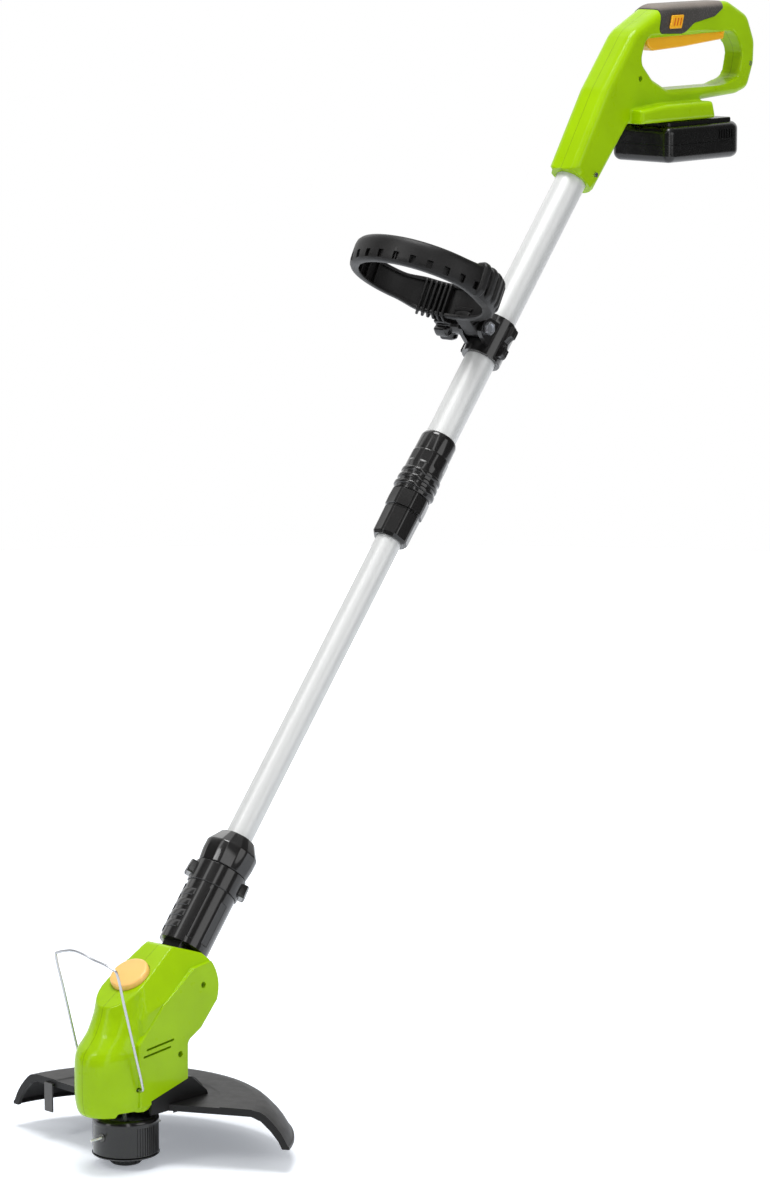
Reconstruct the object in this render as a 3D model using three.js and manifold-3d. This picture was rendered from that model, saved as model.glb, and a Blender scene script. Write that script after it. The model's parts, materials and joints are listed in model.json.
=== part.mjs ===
// A cordless string trimmer: head, telescoping shaft, hoop handle and D-handle with battery.
// Millimetres. The foot of the bump knob is the origin, +Z is up, +X points back to the user,
// and the middle plane of the tool is Y = 0.
import * as THREE from 'three';
import { mergeVertices } from 'three/addons/utils/BufferGeometryUtils.js';
import Module from 'manifold-3d';

const wasm = await Module();
wasm.setup();

const deg = Math.PI / 180;

// ---------------------------------------------------------------- driving dimensions

const gap = 0.3; // clearance at every seat and split line
const run = 0.4; // clearance of pieces that slide or turn
const roundSides = 18;

const shaft = {
  lean: 39.4, // degrees from the vertical
  crossHeight: 94, // where its axis meets the spool axis
};

const lowerTube = { radius: 12.5, wall: 1.2, from: 150, to: 716 };
const bush = { length: 20, lip: 2 };

const telescope = {
  nutFrom: 558, nutStep: 589, nutTo: 608, nutRadius: 19.2, nutFootRadius: 17.8,
  flutes: 8, fluteDepth: 0.9, sleeveTo: 673, sleeveRadius: 18.8, sleeveTopRadius: 17.8,
  ridges: 3, ridgeFrom: 4, ridgeRadius: 20.8, ridgeWidth: 5, ridgePitch: 8, ridgeStep: 0.5,
  spigotRadius: 15.4, spigotLength: 14,
};
const collet = { length: 16, wall: 1.9, slot: 2 };

const neck = {
  radius: 23.5, pivot: 78, reach: 40, top: 198.4, spigotRadius: 18.6, spigotLength: 17.9,
  tongueHalfWidth: 11, tongueRadius: 19, tongueStep: 3, pinRadius: 4,
  ribs: 3, ribPitch: 9, ribHeight: 1.2, ribWidth: 4, ribFrom: 146,
};
const edgingRing = { length: 20.4, radius: 26, lip: 4, tabRadius: 30.5, tabWidth: 15, tabCorner: 3 };
const edgingSpring = { wire: 0.9, turns: 3 };
const neckCap = { length: 35.2, radius: 25.6, footRadius: 24, topRadius: 15.4 };

const head = {
  wall: 3,
  barrelCentre: -8, barrelLength: 46, barrelHalfWidth: 32, barrelFoot: 52, barrelTop: 132,
  halfWidth: 34, bevel: 6,
  faceHalfWidth: 25, faceTaper: 7, sideSlope: 15, // the face narrows to its lip, its sides slope
  faceSlope: 32, // degrees, of the inclined face round the tilt button
  tiltRange: 40,
};
const vent = { count: 2, fromX: -7, fromZ: 112, length: 37, rise: 3, width: 2.5, stepX: 4, stepZ: 6 };
const headScrew = { headRadius: 2.2, top: 29, seat: 20, shankRadius: 1.2, tip: 13, bossRadius: 4.6 };
const motor = { radius: 26, from: 60, to: 118, bossRadius: 8, bossHeight: 5, shaftRadius: 2.7 };

const pinSkin = 1.5; // what the shells keep over each end of the tilt pin

const spool = {
  radius: 30, wall: 2.2, foot: 12, top: 46.6, hubRadius: 8, hubLength: 10, ribs: 10, ribDepth: 1,
};
const spoolCap = { foot: 9.6, thickness: 2.3, collar: 5 };
const reel = { radius: 25.6, coreRadius: 14, boreRadius: 9.2, foot: 21, top: 42, flange: 2 };
const knob = { radius: 15, stemRadius: 8.6, flangeRadius: 17, travel: 3 };
const bumpSpring = { wire: 0.8, turns: 2, radius: 11.6 };
const line = { radius: 1.1, height: 30, tip: 44 };

const guard = {
  radius: 157, tipHeight: 21, plateHeight: 57, wall: 2.6, innerRadius: 38, from: -61, to: 84,
  centreY: 7, collarHalfWidth: 33,
};
const blade = { thickness: 1.6, width: 11, drop: 27, foot: 12, radius: 108, angle: 86 };
const bail = { wire: 1.5, halfSpan: 38, pivotX: -15, pivotZ: 77, topX: -46, topZ: 202, bulge: 5, corner: 12 };
const button = {
  centreX: 8, centreZ: 172, radius: 18.5, proud: 6, flange: 1.6, travel: 4,
  stemRadius: 5, stemLength: 28,
};
const buttonSpring = { wire: 1, turns: 3, radius: 8, length: 8 };
// The height, below the face, of the shelf that carries the button's spring.
const buttonShelf = -button.flange - head.wall - button.travel - buttonSpring.length;

const clamp = { centre: 784, height: 42, wall: 4.2, flangeReach: 26, flangeThickness: 3.6, boltOffset: 25 };
const hoop = {
  radius: 68, band: 26, wall: 7, tilt: 28, // ring, and the slope of its plane in degrees
  centreX: 405, centreZ: 770, notches: 11, notchWidth: 5, notchHeight: 9, notchDepth: 2.4,
  knuckleHalfWidth: 9, knuckleRadius: 9, armHalf: 7.2,
};
const wingKnob = { radius: 15, hub: 9, hubLength: 12, length: 28, lobes: 6, lobeDepth: 3.6 };
const hoopBolt = { radius: 3, headRadius: 6.5, headHeight: 4 };

// The rear handle and the battery are measured from the point on the shaft's axis at the mouth.
const handle = {
  mouth: 972, lip: 10, halfWidth: 18, bevel: 8, wall: 4, windowFlare: 3,
  sleeveRadius: 21, sleeveLength: 74, sleeveFlare: 2, seatLength: 28, stopDepth: 12, stopWidth: 4,
  taperFrom: 173, taper: 4.5, // from here back, each side of the loop narrows by this angle
  screwRadius: 2.4,
};
const upperTube = {
  radius: 15, wall: 1.3, from: telescope.nutTo + 8, to: handle.mouth + 80,
};
const battery = {
  from: 105, length: 124, foot: 12, lowerHeight: 18, upperHeight: 21.6, halfWidth: 37.5, wall: 2.4,
  nose: 7, corner: 12, round: 1.4, step: 5,
};
const cell = { radius: 9.2, length: 65, count: 5, pitch: 18.7 };
const latch = { from: 186, length: 15, halfWidth: 14, proud: 4.4, depth: 8, travel: 3 };
const batterySplit = battery.foot + battery.lowerHeight;
const batteryTop = batterySplit + battery.upperHeight;

const dock = { from: 77, length: 108, height: 17, roof: 12, halfWidth: 33, chamfer: 4.5, fairing: 34 };
const dockFoot = batteryTop + run;
const dockTop = dockFoot + dock.height;
const rail = {
  neckHalfWidth: 19, headHalfWidth: 25, neckHeight: 3.4, headHeight: 4.6, front: 115, slotHalf: 1,
};
const railFoot = batteryTop + rail.neckHeight;
const terminal = { behind: 12, depth: 11.6, halfWidth: 18, bladeY: 12, bladeHalf: 0.4, reach: 12 };

const trigger = { halfWidth: 7.6, pivotX: 221, pivotZ: 135, pinRadius: 2.4, pinHalf: 11, round: 1.5 };
const slider = {
  front: 125, length: 22, height: 13, slant: 4, travel: 4, proud: 2,
  seat: 6.5, // its foot over the trigger's pivot
  stemInset: 5.6, stemMargin: 3.6, stemEnd: -10,
};
const powerSwitch = {
  front: 159, length: 26, halfWidth: 5, seat: 12.6, height: 9.4,
  plungerFrom: 6, plungerWidth: 5, plungerHalf: 3, plungerDrop: 3,
};
const grip = { proud: 0.6, depth: 1.5 };
const beyond = 500; // past every piece, for the blocks that only cut

// ---------------------------------------------------------------- materials

const colours = {
  green: [0x93c60a, 0.38, 0], orange: [0xf0a418, 0.45, 0], peach: [0xffc878, 0.4, 0],
  black: [0x26262a, 0.5, 0], gloss: [0x0c0c0e, 0.2, 0], rubber: [0x5c5654, 0.8, 0],
  alloy: [0xd3d6d8, 0.3, 0.9], steel: [0xb9bcc0, 0.28, 1], brass: [0xc9a24c, 0.35, 1],
  grey: [0x9c9ca0, 0.45, 0], cellWrap: [0x3f8f8a, 0.4, 0],
};

function finish(name) {
  const [color, roughness, metalness] = colours[name];
  return new THREE.MeshStandardMaterial({ color, roughness, metalness });
}

// ---------------------------------------------------------------- solid helpers

function bare(geometry) {
  const flat = geometry.index ? geometry.toNonIndexed() : geometry.clone();
  for (const name of Object.keys(flat.attributes)) {
    if (name !== 'position') flat.deleteAttribute(name);
  }
  const merged = mergeVertices(flat, 1e-4);
  const index = merged.index.array;
  const kept = [];
  for (let i = 0; i < index.length; i += 3) {
    const [a, b, c] = [index[i], index[i + 1], index[i + 2]];
    if (a !== b && b !== c && c !== a) kept.push(a, b, c);
  }
  merged.setIndex(kept);
  return merged;
}

function signedVolume(geometry) {
  const points = geometry.attributes.position;
  const index = geometry.index.array;
  const [a, b, c] = [new THREE.Vector3(), new THREE.Vector3(), new THREE.Vector3()];
  let sum = 0;
  for (let i = 0; i < index.length; i += 3) {
    a.fromBufferAttribute(points, index[i]);
    b.fromBufferAttribute(points, index[i + 1]);
    c.fromBufferAttribute(points, index[i + 2]);
    sum += a.dot(b.cross(c));
  }
  return sum / 6;
}

function outward(geometry) {
  const closed = bare(geometry);
  if (signedVolume(closed) < 0) {
    const index = closed.index.array;
    for (let i = 0; i < index.length; i += 3) {
      [index[i], index[i + 1]] = [index[i + 1], index[i]];
    }
  }
  return closed;
}

function solid(geometry) {
  const closed = outward(geometry);
  const mesh = new wasm.Mesh({
    numProp: 3,
    vertProperties: new Float32Array(closed.attributes.position.array),
    triVerts: new Uint32Array(closed.index.array),
  });
  return new wasm.Manifold(mesh);
}

function toGeometry(manifold) {
  const mesh = manifold.getMesh();
  const geometry = new THREE.BufferGeometry();
  geometry.setAttribute('position', new THREE.BufferAttribute(new Float32Array(mesh.vertProperties), 3));
  geometry.setIndex(new THREE.BufferAttribute(new Uint32Array(mesh.triVerts), 1));
  return geometry;
}

function combined(method, first, rest) {
  return toGeometry(rest.reduce((sum, part) => sum[method](solid(part)), solid(first)));
}

const join = (first, ...rest) => combined('add', first, rest);
const cut = (first, ...rest) => combined('subtract', first, rest);
const common = (first, ...rest) => combined('intersect', first, rest);

// ---------------------------------------------------------------- shape helpers

function block(x0, x1, y0, y1, z0, z1) {
  return new THREE.BoxGeometry(x1 - x0, y1 - y0, z1 - z0)
    .translate((x0 + x1) / 2, (y0 + y1) / 2, (z0 + z1) / 2);
}

// A round bar along Z, with another radius at its upper end if one is given.
function rod(radius, from, to, sides = roundSides, upperRadius = radius) {
  return new THREE.CylinderGeometry(upperRadius, radius, to - from, sides)
    .rotateX(Math.PI / 2)
    .translate(0, 0, (from + to) / 2);
}

const lengthwise = (geometry) => geometry.rotateY(Math.PI / 2); // Z to X
const crosswise = (geometry) => geometry.rotateX(-Math.PI / 2); // Z to Y

// A closed profile of [radius, height] turned about Z.
function turned(profile, sides = roundSides) {
  const points = profile.map(([radius, height]) => new THREE.Vector2(radius, height));
  if (profile[0][0] > 0) points.push(points[0].clone());
  return new THREE.LatheGeometry(points, sides).rotateX(Math.PI / 2);
}

function ring(outer, inner, from, to, sides = roundSides) {
  return turned([[inner, from], [outer, from], [outer, to], [inner, to]], sides);
}

// An outline of [x, z, corner radius] points as a shape with rounded corners.
function outline(points) {
  const shape = new THREE.Shape();
  points.forEach(([x, z, radius = 0], i) => {
    const here = new THREE.Vector2(x, z);
    const [px, pz] = points.at(i - 1);
    const [nx, nz] = points[(i + 1) % points.length];
    const back = new THREE.Vector2(px - x, pz - z);
    const ahead = new THREE.Vector2(nx - x, nz - z);
    const limit = 0.48 * Math.min(back.length(), ahead.length());
    back.normalize();
    ahead.normalize();
    const half = Math.acos(THREE.MathUtils.clamp(back.dot(ahead), -1, 1)) / 2;
    if (radius === 0 || half > 1.56) {
      if (i === 0) shape.moveTo(x, z);
      else shape.lineTo(x, z);
      return;
    }
    const reach = Math.min(radius / Math.tan(half), limit);
    const bend = reach * Math.tan(half);
    const centre = back.clone().add(ahead).normalize().multiplyScalar(bend / Math.sin(half)).add(here);
    const start = here.clone().addScaledVector(back, reach).sub(centre);
    const end = here.clone().addScaledVector(ahead, reach).sub(centre);
    if (i === 0) shape.moveTo(centre.x + start.x, centre.y + start.y);
    else shape.lineTo(centre.x + start.x, centre.y + start.y);
    shape.absarc(centre.x, centre.y, bend, start.angle(), end.angle(), start.cross(end) < 0);
  });
  shape.closePath();
  return shape;
}

// The same corner points moved inwards by a distance; outwards where it is negative.
function inset(points, distance) {
  const area = points.reduce((sum, [x, z], i) => {
    const [nx, nz] = points[(i + 1) % points.length];
    return sum + x * nz - nx * z;
  }, 0);
  const side = Math.sign(area) * distance;
  return points.map(([x, z, radius = 0], i) => {
    const [px, pz] = points.at(i - 1);
    const [nx, nz] = points[(i + 1) % points.length];
    const before = new THREE.Vector2(x - px, z - pz).normalize();
    const after = new THREE.Vector2(nx - x, nz - z).normalize();
    const normal = new THREE.Vector2(-before.y - after.y, before.x + after.x);
    normal.normalize();
    const stretch = 1 / Math.max(0.3, normal.dot(new THREE.Vector2(-before.y, before.x)));
    const turn = before.cross(after) * Math.sign(area);
    const corner = radius > 0 ? Math.max(0.5, radius - Math.sign(turn) * distance) : 0;
    return [x + normal.x * side * stretch, z + normal.y * side * stretch, corner];
  });
}

// An XZ shape spread evenly to both sides of the middle plane, with bevelled rims.
function across(shape, halfWidth, bevel = 0, steps = 1, curve = 1) {
  const geometry = new THREE.ExtrudeGeometry(shape, {
    depth: 2 * (halfWidth - bevel), curveSegments: curve, bevelEnabled: bevel > 0,
    bevelThickness: bevel, bevelSize: bevel, bevelOffset: -bevel, bevelSegments: steps,
  });
  return geometry.translate(0, 0, bevel - halfWidth).rotateX(Math.PI / 2);
}

// An XY shape raised along Z.
function raised(shape, from, to, curve = 1) {
  const options = { depth: to - from, curveSegments: curve, bevelEnabled: false };
  return new THREE.ExtrudeGeometry(shape, options).translate(0, 0, from);
}

function circle(radius, sides = 8) {
  const points = Array.from({ length: sides }, (_, i) => {
    const angle = (i / sides) * 2 * Math.PI;
    return new THREE.Vector2(radius * Math.cos(angle), radius * Math.sin(angle));
  });
  return new THREE.Shape(points);
}

function wireAlong(path, radius, steps, sides = 6) {
  const options = { steps, bevelEnabled: false, extrudePath: path };
  return new THREE.ExtrudeGeometry(circle(radius, sides), options);
}

class Helix extends THREE.Curve {
  constructor(radius, from, to, turns) {
    super();
    Object.assign(this, { radius, from, to, turns });
  }

  getPoint(t, target = new THREE.Vector3()) {
    const angle = t * this.turns * 2 * Math.PI;
    return target.set(
      this.radius * Math.cos(angle),
      this.radius * Math.sin(angle),
      this.from + t * (this.to - this.from),
    );
  }
}

function spring(radius, wire, from, to, turns) {
  return wireAlong(new Helix(radius, from + wire, to - wire, turns), wire, turns * 8, 4);
}

// ---------------------------------------------------------------- frames

const origin = new THREE.Group();

const shaftFrame = new THREE.Group();
shaftFrame.position.set(0, 0, shaft.crossHeight);
shaftFrame.rotation.y = shaft.lean * deg;
shaftFrame.updateMatrixWorld(true);
origin.add(shaftFrame);

const buttonFrame = new THREE.Group();
buttonFrame.position.set(button.centreX, 0, button.centreZ);
buttonFrame.rotation.y = -head.faceSlope * deg;
buttonFrame.updateMatrixWorld(true);
origin.add(buttonFrame);

const rearFrame = new THREE.Group();
rearFrame.position.copy(new THREE.Vector3(0, 0, handle.mouth).applyMatrix4(shaftFrame.matrixWorld));
rearFrame.updateMatrixWorld(true);
origin.add(rearFrame);
const rearInverse = rearFrame.matrixWorld.clone().invert();

const fromShaft = (geometry) => geometry.applyMatrix4(shaftFrame.matrixWorld);
const shaftToRear = (geometry) => fromShaft(geometry).applyMatrix4(rearInverse);
const fromButton = (geometry) => geometry.applyMatrix4(buttonFrame.matrixWorld);

// A place in the middle plane, from the distance up the shaft and the distance behind its axis.
function onShaft(distance, behind = 0) {
  const point = new THREE.Vector3(behind, 0, distance).applyMatrix4(shaftFrame.matrixWorld);
  return [point.x, point.z];
}

function add(parent, name, look, geometry) {
  const mesh = new THREE.Mesh(outward(geometry), finish(look));
  mesh.geometry.computeVertexNormals();
  mesh.name = name;
  parent.add(mesh);
}

// The two halves of a moulded body, split along the middle plane.
const halves = (body) => [
  ['left', common(body, block(-beyond, beyond, gap / 2, beyond, -beyond, beyond))],
  ['right', common(body, block(-beyond, beyond, -beyond, -gap / 2, -beyond, beyond))],
];

// ---------------------------------------------------------------- shaft: tubes and telescope

function tubes() {
  const upper = ring(upperTube.radius, upperTube.radius - upperTube.wall, upperTube.from, upperTube.to);
  add(shaftFrame, 'upper_tube', 'alloy', upper);
  const lower = ring(lowerTube.radius, lowerTube.radius - lowerTube.wall, lowerTube.from, lowerTube.to);
  add(shaftFrame, 'lower_tube', 'alloy', lower);

  const outer = upperTube.radius - upperTube.wall - run / 2;
  const inner = lowerTube.radius + gap / 2;
  const top = lowerTube.to + gap + bush.lip;
  add(shaftFrame, 'guide_bush', 'black', turned([
    [inner, lowerTube.to - bush.length], [outer, lowerTube.to - bush.length], [outer, top],
    [lowerTube.radius - lowerTube.wall, top], [lowerTube.radius - lowerTube.wall, lowerTube.to + gap],
    [inner, lowerTube.to + gap],
  ]));
}

// A round outline with shallow flutes, as on a nut that is turned by hand.
function fluted(radius, count, depth) {
  const steps = count * 3;
  return new THREE.Shape(Array.from({ length: steps }, (_, i) => {
    const angle = (i / steps) * 2 * Math.PI;
    const dip = depth * Math.max(0, Math.cos(angle * count)) ** 2;
    return new THREE.Vector2((radius - dip) * Math.cos(angle), (radius - dip) * Math.sin(angle));
  }));
}

function telescopeJoint() {
  const t = telescope;
  const seat = lowerTube.radius + run;
  const spigotFoot = t.nutTo - t.spigotLength;
  const chamber = t.spigotRadius + run;
  const nut = join(
    raised(fluted(t.nutRadius, t.flutes, t.fluteDepth), t.nutStep, t.nutTo - gap),
    rod(t.nutFootRadius, t.nutFrom, t.nutStep + 1),
  );
  const colletTop = spigotFoot - gap;
  const colletFoot = colletTop - collet.length;
  const colletRadius = lowerTube.radius + gap + collet.wall;
  add(shaftFrame, 'telescope_nut', 'black', cut(
    nut,
    rod(seat, t.nutFrom - 1, t.nutTo),
    rod(chamber, spigotFoot - gap, t.nutTo),
    rod(colletRadius - 0.6 + gap, colletFoot - gap, spigotFoot, roundSides, colletRadius + gap),
    rod(t.nutFootRadius - 1.6, t.nutFrom - 1, t.nutFrom + 2, roundSides, seat),
  ));

  const slotHalf = collet.slot / 2;
  const split = block(0, colletRadius + 1, -slotHalf, slotHalf, colletFoot - 1, colletTop + 1);
  add(shaftFrame, 'telescope_collet', 'grey', cut(
    rod(colletRadius - 0.6, colletFoot, colletTop, 24, colletRadius),
    rod(lowerTube.radius + gap, colletFoot - 1, colletTop + 1, 24),
    split,
  ));

  const stop = upperTube.from - gap;
  const ridges = Array.from({ length: t.ridges }, (_, i) => {
    const foot = t.nutTo + t.ridgeFrom + i * t.ridgePitch;
    const crown = t.ridgeRadius - i * t.ridgeStep;
    return [[t.sleeveRadius, foot], [crown, foot + 1], [t.sleeveRadius, foot + t.ridgeWidth]];
  });
  add(shaftFrame, 'telescope_sleeve', 'black', turned([
    [seat, spigotFoot], [t.spigotRadius, spigotFoot], [t.spigotRadius, t.nutTo], [t.sleeveRadius, t.nutTo],
    ...ridges.flat(), [t.sleeveTopRadius, t.sleeveTo - 3],
    [t.sleeveTopRadius - 1.6, t.sleeveTo], [upperTube.radius + gap, t.sleeveTo],
    [upperTube.radius + gap, stop], [seat, stop],
  ]));
}

// ---------------------------------------------------------------- neck

function neckPieces() {
  const [tubeBore, foot] = [lowerTube.radius + run, neck.pivot + neck.reach];
  const shoulder = neck.top - neck.spigotLength;
  const post = turned([
    [0, neck.pivot], [neck.radius, neck.pivot], [neck.radius, shoulder],
    [neck.spigotRadius, shoulder], [neck.spigotRadius, neck.top], [0, neck.top],
  ]);
  const hollow = crosswise(rod(neck.reach + gap, -60, 60, 24)).translate(0, 0, neck.pivot);
  const flatFront = block(-60, 0, -60, 60, neck.pivot - 30, foot + gap);
  const [half, side] = [neck.tongueHalfWidth, neck.tongueRadius - neck.tongueStep];
  const tongue = join(
    crosswise(rod(neck.tongueRadius, -half, half)).translate(0, 0, neck.pivot),
    block(-side, side, -half, half, neck.pivot, foot + 6),
  );
  const ribs = Array.from({ length: neck.ribs }, (_, i) => {
    const z = neck.ribFrom + i * neck.ribPitch;
    const rib = ring(neck.radius + neck.ribHeight, neck.radius - 1, z, z + neck.ribWidth);
    return common(rib, block(-60, -neck.radius * 0.55, -60, 60, z - 1, z + neck.ribWidth + 1));
  });
  const pinHole = crosswise(rod(neck.pinRadius + run, -60, 60, 16)).translate(0, 0, neck.pivot);
  add(shaftFrame, 'neck_body', 'black', cut(
    join(cut(post, hollow, flatFront), tongue, ...ribs),
    rod(tubeBore, lowerTube.from - gap, neck.top + 1), pinHole,
  ));

  const pinEnd = head.halfWidth - pinSkin;
  const [pivotX, pivotZ] = onShaft(neck.pivot);
  add(origin, 'tilt_pin', 'steel',
    crosswise(rod(neck.pinRadius, -pinEnd, pinEnd, 16)).translate(pivotX, 0, pivotZ));

  const e = edgingRing;
  const [ringFoot, ringTop] = [neck.top - e.length, neck.top];
  const tab = common(
    raised(outline([
      [0, -e.tabWidth / 2], [e.tabRadius, -e.tabWidth / 2, e.tabCorner],
      [e.tabRadius, e.tabWidth / 2, e.tabCorner], [0, e.tabWidth / 2],
    ]), ringFoot, ringTop),
    rod(e.tabRadius, ringFoot, ringTop, roundSides, e.tabRadius - 2),
  );
  const tabs = [-100, 80].map((angle) => tab.clone().rotateZ(angle * deg));
  add(shaftFrame, 'edging_ring', 'black', cut(
    join(rod(e.radius, ringFoot, ringTop), ...tabs),
    rod(neck.radius + run, ringFoot - 1, ringTop - e.lip),
    rod(neck.spigotRadius + run, ringFoot - 1, ringTop + 1),
  ));
  const springRadius = (neck.radius + neck.spigotRadius) / 2;
  add(shaftFrame, 'edging_spring', 'steel', spring(
    springRadius, edgingSpring.wire, shoulder + gap, ringTop - e.lip - gap, edgingSpring.turns));

  const c = neckCap;
  const boreRadius = lowerTube.radius + gap;
  const capFoot = neck.top + run;
  const capTop = capFoot + c.length;
  add(shaftFrame, 'neck_cap', 'black', turned([
    [boreRadius, capFoot], [c.footRadius, capFoot], [c.radius, capFoot + 12],
    [c.radius, capFoot + 20], [c.topRadius + 4, capTop - 4], [c.topRadius, capTop],
    [boreRadius, capTop],
  ]));
}

// ---------------------------------------------------------------- head

const screwPlaces = [[68, 158], [37, 100]]; // X and Z
const slope = Math.tan(head.faceSlope * deg);
const faceHeight = (x) => button.centreZ + (x - button.centreX) * slope;

function headOutline() {
  const lipX = -31;
  const [pivotX, pivotZ] = onShaft(neck.pivot);
  const top = neck.pivot + neck.reach;
  const [topX, topZ] = onShaft(top, 0);
  const frontX = 45;
  const arcSteps = 6;
  const arc = Array.from({ length: arcSteps }, (_, i) => {
    const angle = (90 - shaft.lean - ((i + 1) / arcSteps) * (head.tiltRange + 38)) * deg;
    const reach = neck.reach - gap;
    return [pivotX + reach * Math.cos(angle), pivotZ + reach * Math.sin(angle)];
  });
  return [
    [-8, 64], [lipX + 5, 132], [lipX, faceHeight(lipX) - 2],
    [frontX, faceHeight(frontX)], [topX, topZ], ...arc,
    [67, 118, 9], [50, 109, 6], [49, 90],
  ];
}

function headBody(shrink) {
  const side = inset(headOutline(), shrink);
  const knee = across(outline(side), head.halfWidth - shrink, head.bevel - shrink);
  const sides = [-1, 1].map((hand) => {
    const away = block(-200, 200, Math.min(0, hand * 60), Math.max(0, hand * 60), -200, 200);
    const slanted = away.rotateX(hand * head.sideSlope * deg).rotateZ(hand * head.faceTaper * deg);
    return fromButton(slanted.translate(0, hand * (head.faceHalfWidth - shrink), 0));
  });
  const [foot, top] = [head.barrelFoot + shrink, head.barrelTop - shrink];
  const span = top - foot;
  const sideCount = shrink > 0 ? 12 : 22;
  const barrel = turned([
    [0, foot], [0.86, foot], [0.96, foot + span * 0.08], [1, foot + span * 0.2], [1, foot + span * 0.58],
    [0.93, foot + span * 0.77], [0.7, foot + span * 0.95], [0, top],
  ], sideCount).scale(head.barrelLength - shrink, head.barrelHalfWidth - shrink, 1);
  return join(cut(knee, ...sides), barrel.translate(head.barrelCentre, 0, 0));
}

function headPieces() {
  const outer = headBody(0);
  const [pivotX, pivotZ] = onShaft(neck.pivot);

  // Two webs grip the motor, and a shelf under the tilt button carries its spring.
  const webs = [motor.from + 6, motor.from + 30].map((z) => block(-100, 100, -60, 60, z, z + 2.4));
  const shelf = fromButton(block(-24, 24, -60, 60, buttonShelf - 2.4, buttonShelf));
  const slotHalf = neck.tongueHalfWidth + run;
  const pinBoss = crosswise(ring(neck.pinRadius + 3, neck.pinRadius, -60, 60, 16));
  const bosses = cut(
    pinBoss.translate(pivotX, 0, pivotZ),
    block(-beyond, beyond, -slotHalf, slotHalf, -beyond, beyond),
  );
  const h = headScrew;
  const screwBosses = screwPlaces.map(([x, z]) => {
    const boss = crosswise(rod(h.bossRadius, -60, 1 - h.tip, 10));
    return boss.translate(x, 0, z);
  });
  const ribs = common(join(webs[0], webs[1], shelf, bosses, ...screwBosses), outer);
  const shell = join(cut(outer, headBody(head.wall)), ribs);

  // The slot in which the neck's tongue swings.
  const [side, far] = [neck.tongueRadius - neck.tongueStep + run, neck.reach + 24];
  const swung = (x, z) => {
    const end = new THREE.Vector2(x, z).rotateAround(new THREE.Vector2(), -head.tiltRange * deg);
    return [end.x, end.y];
  };
  const swing = outline([
    [-side, 0], [-side, far], [far * 0.4, far + 6], swung(side, far), swung(side, 0),
  ]);
  const tongueWay = join(
    crosswise(rod(neck.tongueRadius + run, -slotHalf, slotHalf, 24)),
    across(swing, slotHalf),
  ).translate(0, 0, neck.pivot);
  const v = vent;
  const slit = across(outline([
    [0, 0], [v.length, v.rise, 1], [v.length, v.rise + v.width, 1], [0, v.width],
  ]), 60);
  const vents = Array.from({ length: v.count }, (_, i) => slit.clone().translate(
    v.fromX - i * v.stepX, 0, v.fromZ - i * v.stepZ));
  const screwHoles = screwPlaces.map(([x, z]) => crosswise(join(
    rod(h.headRadius + gap, -60, gap - h.seat, 10),
    rod(h.shankRadius + gap, -h.seat - 1, gap - h.tip, 8),
  )).translate(x, 0, z));
  const shaftHole = rod(motor.bossRadius + 2, head.barrelFoot - 1, motor.from, 24);
  const flangeRoom = button.travel + button.flange + 2;
  const pinRoom = head.halfWidth - pinSkin + gap;
  const body = cut(
    shell, fromShaft(tongueWay), shaftHole, ...vents, ...screwHoles,
    rod(motor.radius + gap, motor.from - gap, motor.to + gap),
    fromButton(rod(button.radius + run, -head.wall - 3, 20)),
    fromButton(rod(button.flange + button.radius + run, -head.wall - flangeRoom, -head.wall)),
    fromButton(rod(button.stemRadius + run, -80, 0, 12)),
    crosswise(rod(neck.pinRadius + gap, -pinRoom, pinRoom, 16)).translate(pivotX, 0, pivotZ),
    crosswise(rod(bail.wire + 2 * run, -60, 60, 8)).translate(bail.pivotX, 0, bail.pivotZ),
    guardCollarSpace(),
  );
  for (const [side, half] of halves(body)) add(origin, `head_shell_${side}`, 'green', half);

  const can = join(
    rod(motor.radius, motor.from, motor.to),
    rod(motor.bossRadius, motor.to - 1, motor.to + motor.bossHeight, 12),
    rod(motor.bossRadius, motor.from - motor.bossHeight, motor.from + 1, 12),
  );
  add(origin, 'motor', 'steel', cut(can, rod(motor.shaftRadius + gap, 0, 200, 12)));
  const shaftFoot = spool.top - 8;
  add(origin, 'motor_shaft', 'steel', rod(motor.shaftRadius, shaftFoot, motor.to + motor.bossHeight + 3, 12));

  screwPlaces.forEach(([x, z], i) => {
    const screw = join(
      rod(h.headRadius, -h.top, -h.seat, 10),
      rod(h.shankRadius, -h.seat - 1, -h.tip, 8),
    );
    add(origin, `head_screw_${i + 1}`, 'steel', crosswise(screw).translate(x, 0, z));
  });
}

function tiltButton() {
  const { radius, flange, proud, stemRadius } = button;
  const skirt = -head.wall - gap;
  const under = skirt - flange;
  const stemFoot = under - button.stemLength;
  add(buttonFrame, 'tilt_button', 'peach', turned([
    [0, stemFoot], [stemRadius, stemFoot], [stemRadius, under], [radius + flange, under],
    [radius + flange, skirt], [radius, skirt], [radius, proud - 3], [radius - 2.4, proud - 0.4],
    [0, proud],
  ]));
  add(buttonFrame, 'tilt_button_spring', 'steel', spring(
    buttonSpring.radius, buttonSpring.wire, buttonShelf + gap, under - gap, buttonSpring.turns));
}

// ---------------------------------------------------------------- spool

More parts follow.
